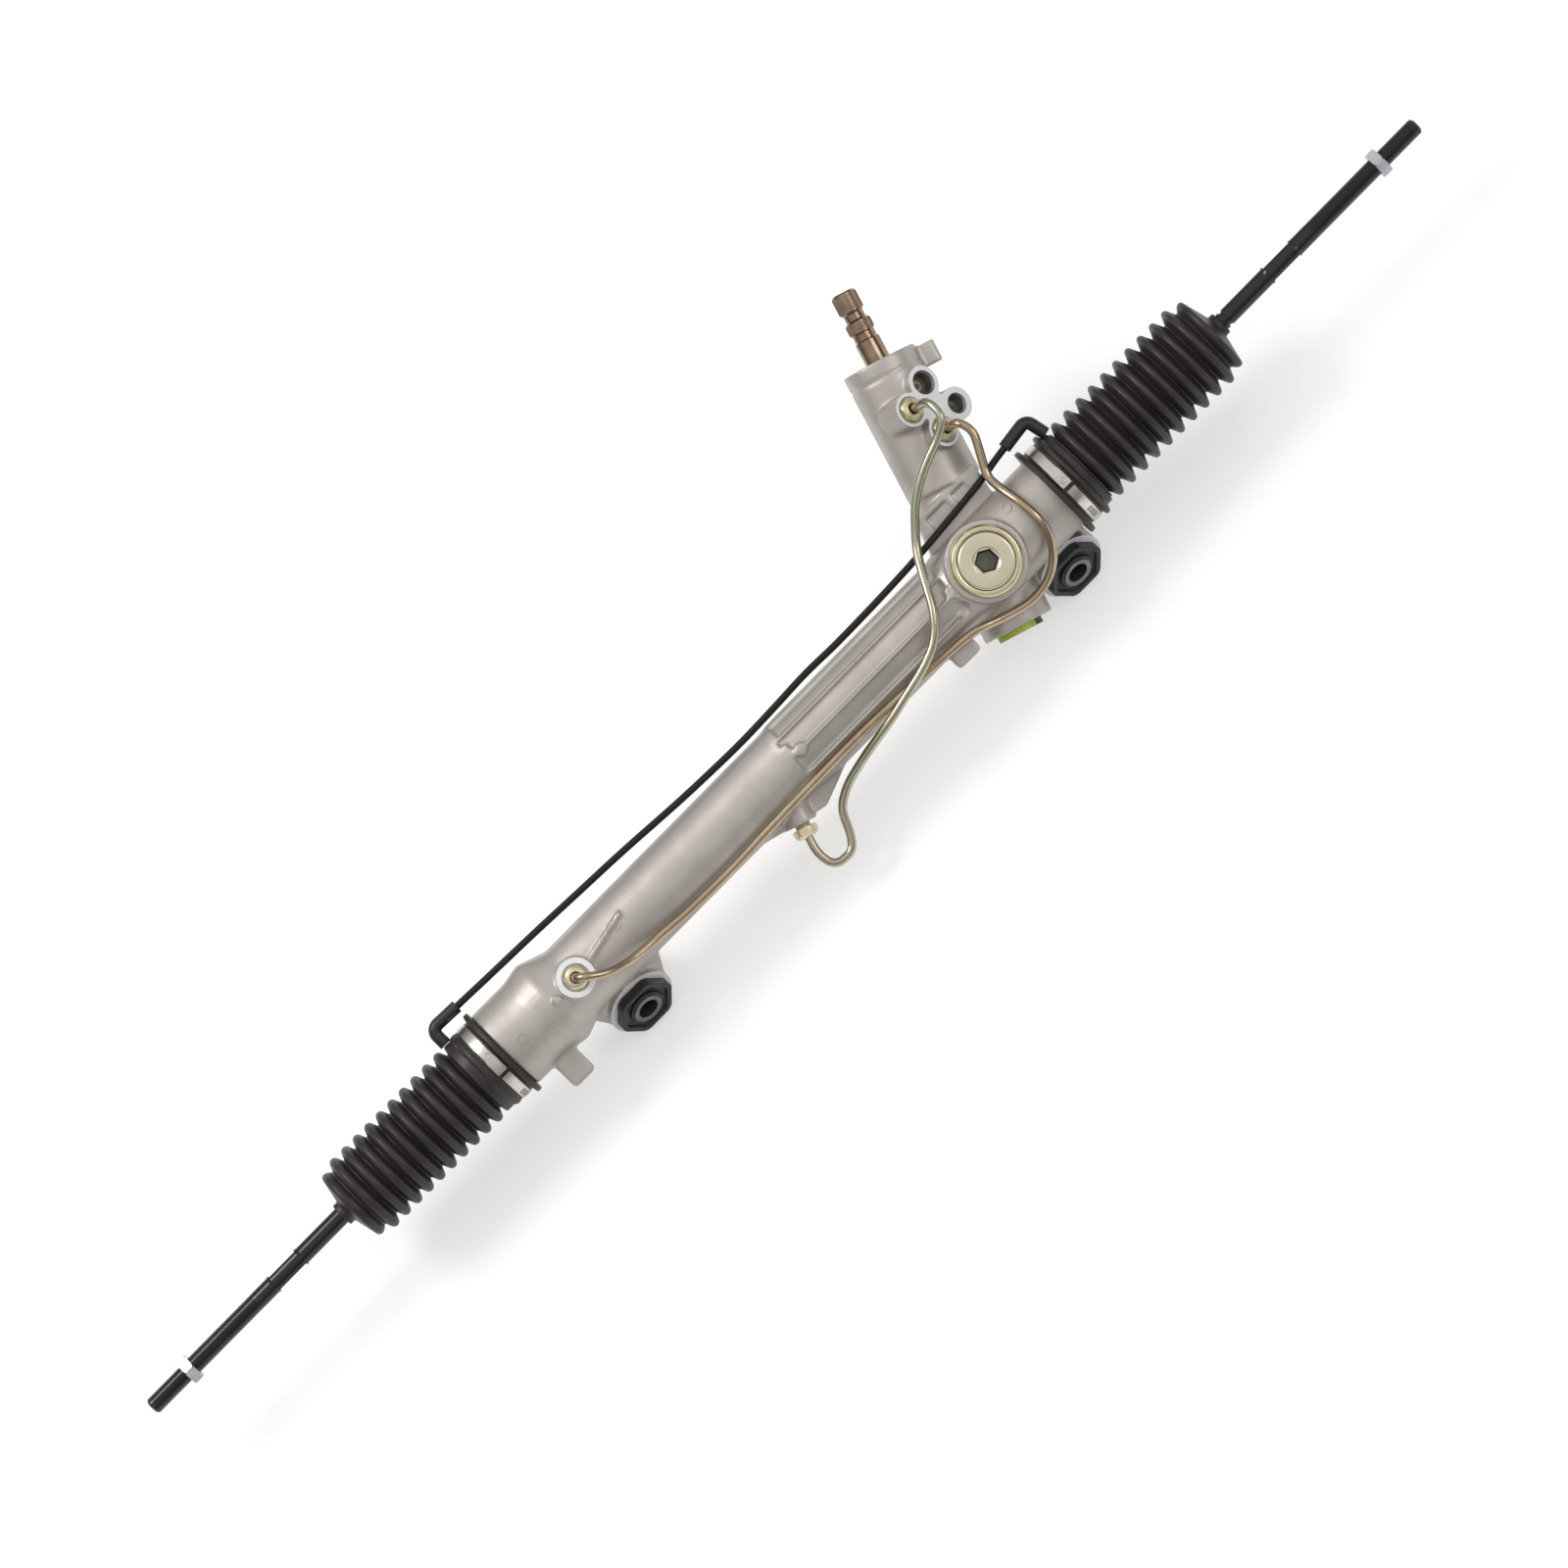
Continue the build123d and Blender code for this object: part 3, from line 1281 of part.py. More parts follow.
left_spigot_way = (left_corner - left_spigot).normalized()
right_spigot_way = (right_corner - right_spigot).normalized()


def breather_elbow(spigot, spigot_way, corner, tube_way):
    """Rubber elbow from the cuff's spigot around the end of the tube."""
    with BuildPart() as elbow:
        with BuildLine() as route:
            FilletPolyline(spigot, corner, corner + tube_way * 23, radius=5.5)
        path = route.wires()[0]
        with BuildSketch(Plane(origin=path @ 0, z_dir=path % 0)):
            Circle(elbow_radius)
        sweep(path=path)
        with BuildSketch(Plane(origin=corner + tube_way * elbow_arm, z_dir=tube_way)):
            Circle(breather_radius + seat_fit)
        extrude(amount=24 - elbow_arm, mode=Mode.SUBTRACT)
        with BuildSketch(Plane(origin=spigot, z_dir=spigot_way)):
            Circle(spigot_radius + seat_fit)
        extrude(amount=spigot_length, mode=Mode.SUBTRACT)
    return elbow


left_breather_elbow = breather_elbow(left_spigot, left_spigot_way, left_corner, left_tube_way)
right_breather_elbow = breather_elbow(right_spigot, right_spigot_way, right_corner, right_tube_way)


# Bellows with round cuff, pointed folds, a spigot for the breather and a small end on the rod
def bellows(housing_end, way, seat_radius_in, sizes, spigot, spigot_way):
    place = Plane(origin=spot(housing_end, 0, 0), x_dir=along_rack * way, z_dir=to_yoke)
    lip_back, cuff_radius, lip_radius, collar_radius, first, last, crest, valley = sizes
    pitch = (last - first) / (bellows_crests - 1)
    inner_cuff = seat_radius_in + seat_fit
    small_radius = rod_radius + 2.2
    small_start = last + pitch * 0.6
    outer = [
        (-lip_back - 2, inner_cuff),
        (-lip_back - 2, lip_radius),
        (-lip_back + 2, lip_radius),
        (-lip_back + 2.5, cuff_radius),
        (-lip_back + 4 + clamp_width, cuff_radius),
        (-lip_back + 5 + clamp_width, collar_radius),
        (-lip_back + 7.4 + clamp_width, collar_radius),
        (-lip_back + 9 + clamp_width, cuff_radius - 1),
        (first - pitch / 2 - 2, cuff_radius - 1),
    ]
    inner = [(2.5, inner_cuff)]
    for fold in range(bellows_crests):
        crest_place = first + fold * pitch
        outer.append((crest_place - pitch / 2, valley))
        outer.append((crest_place, crest if fold < bellows_crests - 1 else crest - 3.5))
        inner.append((crest_place - pitch / 2, valley - bellows_wall))
        inner.append((crest_place, (crest if fold < bellows_crests - 1 else crest - 3.5) - crest_wall))
    outer.append((small_start, small_radius))
    outer.append((small_start + small_end_length, small_radius))
    inner.append((small_start - bellows_wall, rod_radius + rubber_gap))
    inner.append((small_start + small_end_length, rod_radius + rubber_gap))
    with BuildPart() as boot:
        with BuildSketch(place):
            Polygon(*outer, *reversed(inner))
        revolve(axis=rack_axis)
        with BuildSketch(Plane(origin=spigot - spigot_way, z_dir=spigot_way)):
            Circle(spigot_radius)
        extrude(amount=spigot_length)
    return boot


# lip place, cuff, lip and collar radius, first and last crest, crest and valley radius
left_fold_end = left_housing_end - left_ball_x + 16.8
right_fold_end = right_ball_x - right_housing_end + 11.1
left_bellows_sizes = (15.5, left_cuff_outer, 35.0, 31.2, 16.2, left_fold_end, 30.8, 24.5)
right_bellows_sizes = (22.0, right_cuff_outer, 36.0, 34.8, 8.2, right_fold_end, 32.6, 25.0)
left_bellows = bellows(
    left_housing_end, -1, left_cuff_radius, left_bellows_sizes, left_spigot, left_spigot_way
)
right_bellows = bellows(
    right_housing_end, 1, gear_radius, right_bellows_sizes, right_spigot, right_spigot_way
)


def bellows_clamp(housing_end, way, sizes):
    """Steel band with its riveted buckle on the yoke side."""
    start = -sizes[0] + 3
    band_inner = sizes[1] + seat_fit
    face = Plane(origin=spot(housing_end + way * start, 0, 0), x_dir=to_tower, z_dir=along_rack * way)
    with BuildPart() as clamp:
        with BuildSketch(face):
            Circle(band_inner + clamp_wall)
            with Locations((0, way * (band_inner + buckle_height / 2))):
                Rectangle(9, buckle_height + 2)
            Circle(band_inner, mode=Mode.SUBTRACT)
        extrude(amount=clamp_width)
    return clamp


left_bellows_clamp = bellows_clamp(left_housing_end, -1, left_bellows_sizes)
right_bellows_clamp = bellows_clamp(right_housing_end, 1, right_bellows_sizes)

pieces = {
    "rack_housing": rack_housing.part,
    "left_bushing_rubber": left_bushing_rubber.part,
    "left_bushing_sleeve": left_bushing_sleeve.part,
    "right_bushing_rubber": right_bushing_rubber.part,
    "right_bushing_sleeve": right_bushing_sleeve.part,
    "rack_yoke": rack_yoke.part,
    "yoke_liner": yoke_liner.part,
    "yoke_spring": yoke_spring.part,
    "yoke_plug": yoke_plug.part,
    "yoke_locknut": yoke_locknut.part,
    "rack_bar": rack_bar.part,
    "rack_piston": rack_piston.part,
    "piston_ring": piston_ring.part,
    "rack_bushing": rack_bushing.part,
    "outer_rack_seal": outer_rack_seal.part,
    "inner_rack_seal": inner_rack_seal.part,
    "seal_spacer": seal_spacer.part,
    "bushing_ring": bushing_ring.part,
    "left_ball_socket": left_ball_socket.part,
    "right_ball_socket": right_ball_socket.part,
    "left_ball_seat": left_ball_seat.part,
    "right_ball_seat": right_ball_seat.part,
    "left_tie_rod": left_tie_rod.part,
    "right_tie_rod": right_tie_rod.part,
    "left_jam_nut": left_jam_nut.part,
    "right_jam_nut": right_jam_nut.part,
    "pinion": pinion.part,
    "pinion_locknut": pinion_locknut.part,
    "lower_bearing_outer": lower_bearing_outer.part,
    "lower_bearing_balls": lower_bearing_balls.part,
    "lower_bearing_inner": lower_bearing_inner.part,
    "upper_bearing": upper_bearing.part,
    "pinion_end_cap": pinion_end_cap.part,
    "valve_sleeve": valve_sleeve.part,
    "valve_rings": valve_rings.part,
    "torsion_bar": torsion_bar.part,
    "torsion_pin": torsion_pin.part,
    "input_shaft": input_shaft.part,
    "valve_cover": valve_cover.part,
    "input_bearing": input_bearing.part,
    "input_seal": input_seal.part,
    "snap_ring": snap_ring.part,
    "port_seats": port_seats.part,
    "middle_line": middle_line.part,
    "left_line": left_line.part,
    "middle_line_nuts": Compound(children=[nut.part for nut in middle_line_nuts]),
    "left_line_nuts": Compound(children=[nut.part for nut in left_line_nuts]),
    "left_bellows": left_bellows.part,
    "right_bellows": right_bellows.part,
    "left_bellows_clamp": left_bellows_clamp.part,
    "right_bellows_clamp": right_bellows_clamp.part,
    "breather_tube": breather_tube.part,
    "left_breather_elbow": left_breather_elbow.part,
    "right_breather_elbow": right_breather_elbow.part,
}

os.makedirs("parts", exist_ok=True)
for name, piece in pieces.items():
    piece.label = name
    export_step(piece, f"parts/{name}.step")
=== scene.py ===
import bpy
import bmesh
from math import cos, degrees, radians, sin, sqrt
from mathutils import Matrix, Vector


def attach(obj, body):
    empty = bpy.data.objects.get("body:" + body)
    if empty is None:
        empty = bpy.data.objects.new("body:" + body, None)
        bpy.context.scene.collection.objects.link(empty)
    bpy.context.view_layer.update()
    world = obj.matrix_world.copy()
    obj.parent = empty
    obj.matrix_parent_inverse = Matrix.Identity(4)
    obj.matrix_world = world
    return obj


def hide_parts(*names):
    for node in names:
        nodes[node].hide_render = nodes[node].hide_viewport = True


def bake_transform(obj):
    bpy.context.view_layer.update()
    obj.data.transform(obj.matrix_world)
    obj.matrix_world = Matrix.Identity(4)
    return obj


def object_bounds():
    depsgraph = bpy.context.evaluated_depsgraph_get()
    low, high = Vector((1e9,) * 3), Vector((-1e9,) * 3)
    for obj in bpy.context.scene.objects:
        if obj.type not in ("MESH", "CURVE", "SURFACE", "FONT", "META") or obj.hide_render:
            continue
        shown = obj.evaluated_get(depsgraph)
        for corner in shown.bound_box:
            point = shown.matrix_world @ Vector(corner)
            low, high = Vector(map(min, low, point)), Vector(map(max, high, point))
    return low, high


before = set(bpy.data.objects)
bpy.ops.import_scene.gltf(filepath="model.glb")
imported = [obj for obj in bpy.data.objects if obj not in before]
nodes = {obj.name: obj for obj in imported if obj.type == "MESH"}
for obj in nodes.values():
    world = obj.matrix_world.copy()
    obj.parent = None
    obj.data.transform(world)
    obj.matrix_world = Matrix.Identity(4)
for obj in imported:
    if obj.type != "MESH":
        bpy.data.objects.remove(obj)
cad_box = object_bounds()
mm = 0.001

# Studio: a long lens looks square at the yoke plug, rolled so that the rack climbs to the right.
# The floor is pale, and two soft boxes and an even sky light the part at a plain level.
along = Vector((1, 0, 0))
lean = radians(55)
to_yoke = Vector((0, -cos(lean), sin(lean)))
to_tower = Vector((0, sin(lean), cos(lean)))
climb = radians(45.42)
picture_right = along * cos(climb) - to_tower * sin(climb)
picture_up = along * sin(climb) + to_tower * cos(climb)
pixel = 0.64306 * mm
lens_distance = 7.0
sensor = 36
rack_middle = Vector((0, 0, 46 * mm))
aim = rack_middle + along * -25.5 * mm + to_tower * 3.5 * mm
aim += picture_right * 4 * pixel - picture_up * 21.5 * pixel
lens = bpy.data.cameras.new("lens")
lens.sensor_width = sensor
lens.lens = sensor * lens_distance / (1600 * pixel)
lens.clip_end = 50
camera = bpy.data.objects.new("camera", lens)
bpy.context.scene.collection.objects.link(camera)
turn = Matrix((picture_right, picture_up, to_yoke)).transposed()
camera.matrix_world = Matrix.Translation(aim + to_yoke * lens_distance) @ turn.to_4x4()
bpy.context.scene.camera = camera
bpy.context.scene.view_settings.view_transform = "Standard"


def soft_box(name, place, size, power):
    light = bpy.data.lights.new(name, "AREA")
    light.shape = "DISK"
    light.size = size
    light.energy = power
    lamp = bpy.data.objects.new(name, light)
    bpy.context.scene.collection.objects.link(lamp)
    lamp.location = place
    lamp.rotation_mode = "QUATERNION"
    lamp.rotation_quaternion = (Vector(place) - rack_middle).to_track_quat("Z", "Y")


soft_box("key_box", (-1.0, 0.9, 2.3), 1.1, 24)
soft_box("fill_box", (1.6, -1.4, 1.5), 1.3, 9)

sky = bpy.data.worlds.new("sky")
bpy.context.scene.world = sky
sky.use_nodes = True
sky_nodes = sky.node_tree.nodes
sky_links = sky.node_tree.links
sky_back = sky_nodes["Background"]
sky_rays = sky_nodes.new("ShaderNodeLightPath")
sky_seen = sky_nodes.new("ShaderNodeBackground")
sky_mix = sky_nodes.new("ShaderNodeMixShader")
sky_slope = sky_nodes.new("ShaderNodeTexCoord")
sky_split = sky_nodes.new("ShaderNodeSeparateXYZ")
sky_ramp = sky_nodes.new("ShaderNodeValToRGB")
sky_links.new(sky_slope.outputs["Generated"], sky_split.inputs[0])
sky_links.new(sky_split.outputs["Z"], sky_ramp.inputs["Fac"])
for place, shade in ((0.0, 0.07), (0.40, 0.10), (0.62, 0.80), (1.0, 1.0)):
    stop = sky_ramp.color_ramp.elements.new(place) if 0 < place < 1 else sky_ramp.color_ramp.elements[int(place)]
    stop.position = place
    stop.color = (shade, shade, shade, 1)
sky_links.new(sky_ramp.outputs["Color"], sky_back.inputs["Color"])
sky_back.inputs["Strength"].default_value = 0.95
sky_seen.inputs["Color"].default_value = (1, 1, 1, 1)
sky_seen.inputs["Strength"].default_value = 1.0
sky_links.new(sky_rays.outputs["Is Camera Ray"], sky_mix.inputs["Fac"])
sky_links.new(sky_back.outputs["Background"], sky_mix.inputs[1])
sky_links.new(sky_seen.outputs["Background"], sky_mix.inputs[2])
sky_links.new(sky_mix.outputs["Shader"], sky_nodes["World Output"].inputs["Surface"])


def at_rest():
    """Leaves edit mode with nothing selected."""
    if bpy.context.mode != "OBJECT":
        bpy.ops.object.mode_set(mode="OBJECT")
    bpy.ops.object.select_all(action="DESELECT")


def pick(piece):
    at_rest()
    piece.select_set(True)
    bpy.context.view_layer.objects.active = piece


at_rest()
floor_height = cad_box[0].z
bpy.ops.mesh.primitive_plane_add(size=12, location=(0, 0, floor_height - 0.0002))
floor = bpy.context.object
floor.name = "floor"
floor_paint = bpy.data.materials.new("floor_paint")
floor_paint.use_nodes = True
floor_nodes = floor_paint.node_tree.nodes
floor_links = floor_paint.node_tree.links
floor_shader = floor_nodes["Principled BSDF"]
floor_shader.inputs["Base Color"].default_value = (0.62, 0.62, 0.62, 1)
floor_shader.inputs["Roughness"].default_value = 1.0
floor_shader.inputs["Specular IOR Level"].default_value = 0.0
floor_rays = floor_nodes.new("ShaderNodeLightPath")
floor_glow = floor_nodes.new("ShaderNodeEmission")
floor_sum = floor_nodes.new("ShaderNodeAddShader")
floor_any = floor_nodes.new("ShaderNodeMath")
floor_any.operation = "MAXIMUM"
floor_gain = floor_nodes.new("ShaderNodeMath")
floor_gain.operation = "MULTIPLY"
floor_gain.inputs[1].default_value = 0.47
floor_links.new(floor_rays.outputs["Is Camera Ray"], floor_any.inputs[0])
floor_links.new(floor_rays.outputs["Is Glossy Ray"], floor_any.inputs[1])
floor_links.new(floor_any.outputs[0], floor_gain.inputs[0])
floor_links.new(floor_gain.outputs[0], floor_glow.inputs["Strength"])
floor_links.new(floor_shader.outputs["BSDF"], floor_sum.inputs[0])
floor_links.new(floor_glow.outputs["Emission"], floor_sum.inputs[1])
floor_links.new(floor_sum.outputs["Shader"], floor_nodes["Material Output"].inputs["Surface"])
floor.data.materials.append(floor_paint)


# Rack housing: one aluminium casting, shot-blasted grey with soft corners. Its port faces, tower top and ear faces are
# machined bright after casting, and its hose bores and cylinder get a dark metal that is painted shade for inside the
# holes.
# Two surface effects come first: a mottled tone of two colours, and a fine pitted height for bump.
def effect_group(name, inputs, outputs):
    """Node group whose sockets are given as (name, kind, value)."""
    group = bpy.data.node_groups.new(name, "ShaderNodeTree")
    for label, kind, value in inputs:
        socket = group.interface.new_socket(name=label, in_out="INPUT", socket_type=kind)
        if value is not None:
            socket.default_value = value
    for label, kind in outputs:
        group.interface.new_socket(name=label, in_out="OUTPUT", socket_type=kind)
    return group, group.nodes.new("NodeGroupInput"), group.nodes.new("NodeGroupOutput")


mottle, mottle_in, mottle_out = effect_group(
    "mottle",
    [
        ("Vector", "NodeSocketVector", None),
        ("Scale", "NodeSocketFloat", 30.0),
        ("Light", "NodeSocketColor", (0.5, 0.5, 0.5, 1)),
        ("Dark", "NodeSocketColor", (0.3, 0.3, 0.3, 1)),
    ],
    [("Color", "NodeSocketColor"), ("Mask", "NodeSocketFloat")],
)
broad = mottle.nodes.new("ShaderNodeTexNoise")
broad.inputs["Detail"].default_value = 5
broad.inputs["Roughness"].default_value = 0.62
spread = mottle.nodes.new("ShaderNodeMapRange")
spread.inputs["From Min"].default_value = 0.32
spread.inputs["From Max"].default_value = 0.68
toned = mottle.nodes.new("ShaderNodeMix")
toned.data_type = "RGBA"
mottle.links.new(mottle_in.outputs["Vector"], broad.inputs["Vector"])
mottle.links.new(mottle_in.outputs["Scale"], broad.inputs["Scale"])
mottle.links.new(broad.outputs["Fac"], spread.inputs["Value"])
mottle.links.new(spread.outputs["Result"], toned.inputs["Factor"])
mottle.links.new(mottle_in.outputs["Dark"], toned.inputs[6])
mottle.links.new(mottle_in.outputs["Light"], toned.inputs[7])
mottle.links.new(toned.outputs[2], mottle_out.inputs["Color"])
mottle.links.new(spread.outputs["Result"], mottle_out.inputs["Mask"])

pitting, pitting_in, pitting_out = effect_group(
    "pitting",
    [("Vector", "NodeSocketVector", None), ("Scale", "NodeSocketFloat", 900.0)],
    [("Height", "NodeSocketFloat")],
)
fine = pitting.nodes.new("ShaderNodeTexNoise")
fine.inputs["Detail"].default_value = 3
coarse = pitting.nodes.new("ShaderNodeTexNoise")
coarse.inputs["Detail"].default_value = 2
eighth = pitting.nodes.new("ShaderNodeMath")
eighth.operation = "MULTIPLY"
eighth.inputs[1].default_value = 0.18
summed = pitting.nodes.new("ShaderNodeMath")
summed.operation = "ADD"
pitting.links.new(pitting_in.outputs["Vector"], fine.inputs["Vector"])
pitting.links.new(pitting_in.outputs["Vector"], coarse.inputs["Vector"])
pitting.links.new(pitting_in.outputs["Scale"], fine.inputs["Scale"])
pitting.links.new(pitting_in.outputs["Scale"], eighth.inputs[0])
pitting.links.new(eighth.outputs[0], coarse.inputs["Scale"])
pitting.links.new(fine.outputs["Fac"], summed.inputs[0])
pitting.links.new(coarse.outputs["Fac"], summed.inputs[1])
pitting.links.new(summed.outputs[0], pitting_out.inputs["Height"])


def finish(name, light, dark, metal, rough, tone_scale=28.0, pit_scale=900.0, pit_depth=0.05, coat=0.0):
    """Material of two mottled tones, with its roughness following the tone and pitted bump."""
    made = bpy.data.materials.new(name)
    made.use_nodes = True
    made_nodes = made.node_tree.nodes
    made_links = made.node_tree.links
    shader = made_nodes["Principled BSDF"]
    place = made_nodes.new("ShaderNodeTexCoord")
    tone = made_nodes.new("ShaderNodeGroup")
    tone.node_tree = mottle
    tone.name = "tone"
    tone.inputs["Scale"].default_value = tone_scale
    tone.inputs["Light"].default_value = (*light, 1)
    tone.inputs["Dark"].default_value = (*dark, 1)
    grain = made_nodes.new("ShaderNodeGroup")
    grain.node_tree = pitting
    grain.inputs["Scale"].default_value = pit_scale
    bump = made_nodes.new("ShaderNodeBump")
    bump.name = "bump"
    bump.inputs["Strength"].default_value = 1.0
    bump.inputs["Distance"].default_value = pit_depth * mm
    gloss = made_nodes.new("ShaderNodeMapRange")
    gloss.inputs["To Min"].default_value = rough[1]
    gloss.inputs["To Max"].default_value = rough[0]
    made_links.new(place.outputs["Object"], tone.inputs["Vector"])
    made_links.new(place.outputs["Object"], grain.inputs["Vector"])
    made_links.new(tone.outputs["Color"], shader.inputs["Base Color"])
    made_links.new(tone.outputs["Mask"], gloss.inputs["Value"])
    made_links.new(gloss.outputs["Result"], shader.inputs["Roughness"])
    made_links.new(grain.outputs["Height"], bump.inputs["Height"])
    made_links.new(bump.outputs["Normal"], shader.inputs["Normal"])
    shader.inputs["Metallic"].default_value = metal
    if coat:
        shader.inputs["Coat Weight"].default_value = coat
        shader.inputs["Coat Roughness"].default_value = 0.12
    return made


def coat_nodes(material, *names):
    """Gives CAD nodes that keep their shape a material."""
    for name in names:
        nodes[name].data.materials.clear()
        nodes[name].data.materials.append(material)


cast_metal = finish(
    "cast_metal", (0.56, 0.515, 0.475), (0.45, 0.41, 0.375), 0.55, (0.38, 0.52), 24, 1100, 0.05
)
machined_metal = finish(
    "machined_metal", (0.96, 0.96, 0.98), (0.90, 0.90, 0.92), 0.05, (0.34, 0.46), 60, 2400, 0.012
)
merge_gap = 0.000002
corner_gap = 0.000005


def turned(name, outline, centre, axis, side, steps=64, sweep=360.0, start=0.0, closed=False):
    """Piece turned about an axis from outline points of place, radius and an optional rounding, in mm."""
    side = Matrix.Rotation(radians(start), 3, axis) @ side
    at_rest()
    first = centre + axis * outline[0][0] * mm + side * outline[0][1] * mm
    bpy.ops.mesh.primitive_plane_add(size=0.001, location=first)
    piece = bpy.context.object
    piece.name = name
    bpy.ops.object.transform_apply()
    bpy.ops.object.mode_set(mode="EDIT")
    bpy.ops.mesh.select_mode(type="VERT")
    bpy.ops.mesh.select_all(action="SELECT")
    bpy.ops.mesh.merge(type="CENTER")
    for before, after in zip(outline, outline[1:] + outline[:1] if closed else outline[1:]):
        step = axis * (after[0] - before[0]) * mm + side * (after[1] - before[1]) * mm
        bpy.ops.mesh.extrude_vertices_move(TRANSFORM_OT_translate={"value": step})
    mesh = bmesh.from_edit_mesh(piece.data)
    places = [vert.co.copy() for vert in mesh.verts]
    if closed:
        bpy.ops.mesh.select_all(action="SELECT")
        bpy.ops.mesh.remove_doubles(threshold=merge_gap)
    for rounding in sorted({point[2] for point in outline if len(point) > 2}):
        corners = [place for place, point in zip(places, outline) if len(point) > 2 and point[2] == rounding]
        mesh = bmesh.from_edit_mesh(piece.data)
        for vert in mesh.verts:
            vert.select = any((vert.co - corner).length < corner_gap for corner in corners)
        mesh.select_flush_mode()
        bpy.ops.mesh.bevel(offset=rounding * mm, segments=4, affect="VERTICES")
    bpy.ops.mesh.select_all(action="SELECT")
    bpy.ops.mesh.spin(steps=steps, angle=radians(sweep), center=centre, axis=axis)
    bpy.ops.mesh.select_all(action="SELECT")
    bpy.ops.mesh.remove_doubles(threshold=merge_gap)
    if sweep < 360:
        bpy.ops.mesh.select_all(action="SELECT")
        bpy.ops.mesh.fill_holes(sides=0)
    bpy.ops.mesh.select_all(action="SELECT")
    bpy.ops.mesh.normals_make_consistent(inside=False)
    bpy.ops.object.mode_set(mode="OBJECT")
    bpy.ops.object.shade_smooth_by_angle(angle=radians(38))
    return piece


def dress(piece, material, slot, body, *replaced):
    """Gives a finished piece its material, and the body that carries it; the slot is not used."""
    piece.data.materials.clear()
    piece.data.materials.append(material)
    if body:
        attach(piece, body)
    if replaced:
        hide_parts(*replaced)


def joined(name, pieces):
    """One object out of several."""
    at_rest()
    for piece in pieces:
        piece.select_set(True)
    bpy.context.view_layer.objects.active = pieces[0]
    if len(pieces) > 1:
        bpy.ops.object.join()
    pieces[0].name = name
    return pieces[0]


def cut_away(piece, cutter):
    """Cuts one closed piece out of another; the new faces keep the cutter's material."""
    pick(piece)
    cut = piece.modifiers.new("cut", "BOOLEAN")
    cut.operation = "DIFFERENCE"
    cut.solver = "EXACT"
    cut.material_mode = "TRANSFER"
    cut.object = cutter
    bpy.ops.object.modifier_apply(modifier="cut")
    bpy.data.objects.remove(cutter)


at_rest()
casting = bpy.data.objects.new("casting", nodes["rack_housing"].data.copy())
bpy.context.scene.collection.objects.link(casting)
pick(casting)
bpy.ops.object.mode_set(mode="EDIT")
bpy.ops.mesh.select_all(action="SELECT")
bpy.ops.mesh.remove_doubles(threshold=merge_gap)
bpy.ops.object.mode_set(mode="OBJECT")
casting.data.materials.clear()
casting.data.materials.append(cast_metal)
# Flutes that leave lengthwise ribs standing, and a pocket beside the yoke boss
flute_outer = 31
flute_end = 136
for low_turn, high_turn, start_x, depth in (
    (87.9, 57.6, -13.5, 24.0), (68.0, 57.3, -17.5, 24.0), (120.0, 92.1, -17, 24.0), (53.4, 24.0, -15, 25.4),
    (-92.1, -121.0, -15, 24.5), (-57.6, -87.9, -15, 24.5),
):
    flute = turned(
        "flute",
        [(start_x, depth), (start_x - 1.5, flute_outer), (flute_end, flute_outer), (flute_end - 5, depth)],
        rack_middle, along, to_yoke, 24, sweep=low_turn - high_turn, start=low_turn - 90, closed=True,
    )
    cut_away(casting, flute)
pocket_foot = rack_middle + along * 129.3 * mm - to_tower * 11.3 * mm
pocket_outline = [(20.5, 0), (20.5, 3.5), (22.5, 5.5), (32, 6.5), (32, 0)]
cut_away(casting, turned("pocket", pocket_outline, pocket_foot, to_yoke, along, 40))

skew = radians(17.5)
pinion_axis = to_tower * cos(skew) + along * sin(skew)
pinion_side = along * cos(skew) - to_tower * sin(skew)
port_turn = radians(35)
port_normal = to_yoke * cos(port_turn) + pinion_side * sin(port_turn)
port_side = pinion_side * cos(port_turn) - to_yoke * sin(port_turn)
yoke_foot = rack_middle + along * 163 * mm
pinion_foot = yoke_foot - to_yoke * 19.1575 * mm
left_port = rack_middle - along * 219 * mm
middle_port = rack_middle - along * 33 * mm
port_block = {"return": (1.2, 123.0), "pressure": (17.3, 101.0), "middle": (-18.3, 110.6), "left": (-2.0, 89.5)}


def port_centre(port):
    side, height = port_block[port]
    return pinion_foot + port_side * side * mm + pinion_axis * height * mm


# Round bosses at both ends of the front rib, and spare metal where a cutter will face the casting
boss_outline = [(15, 0), (15, 5.2), (28.4, 4.6, 1.0), (28.4, 0)]
added = [
    turned("boss", boss_outline, rack_middle + along * -9.7 * mm, to_yoke, along, 40),
    turned("boss", boss_outline, rack_middle + along * 132.6 * mm + to_tower * 2.2 * mm, to_yoke, along, 40),
    turned("spare", [(18, 0), (18, 13.3), (35, 13.3), (35, 0)], left_port, to_yoke, along, 64),
]
spare_outline = [(20, 0), (20, 11.6), (35, 11.6), (35, 0)]
for port in port_block:
    added.append(turned("spare", spare_outline, port_centre(port), port_normal, port_side, 64))
ear_places = {"left": -201.4, "right": 201.4}
ear_axis = Vector((0, 1, 0))
for ear_x in ear_places.values():
    added.append(
        turned(
            "spare", [(-22, 17.6), (-22, 24.4), (22, 24.4), (22, 17.6)],
            along * ear_x * mm, ear_axis, along, 72, closed=True,
        )
    )
casting = joined("casting", [casting] + added)
casting.data.materials.clear()
casting.data.materials.append(cast_metal)
voxel = 1.05 * mm
most_triangles = 170000
pick(casting)
remesh = casting.modifiers.new("remesh", "REMESH")
remesh.mode = "VOXEL"
remesh.voxel_size = voxel
bpy.ops.object.modifier_apply(modifier="remesh")
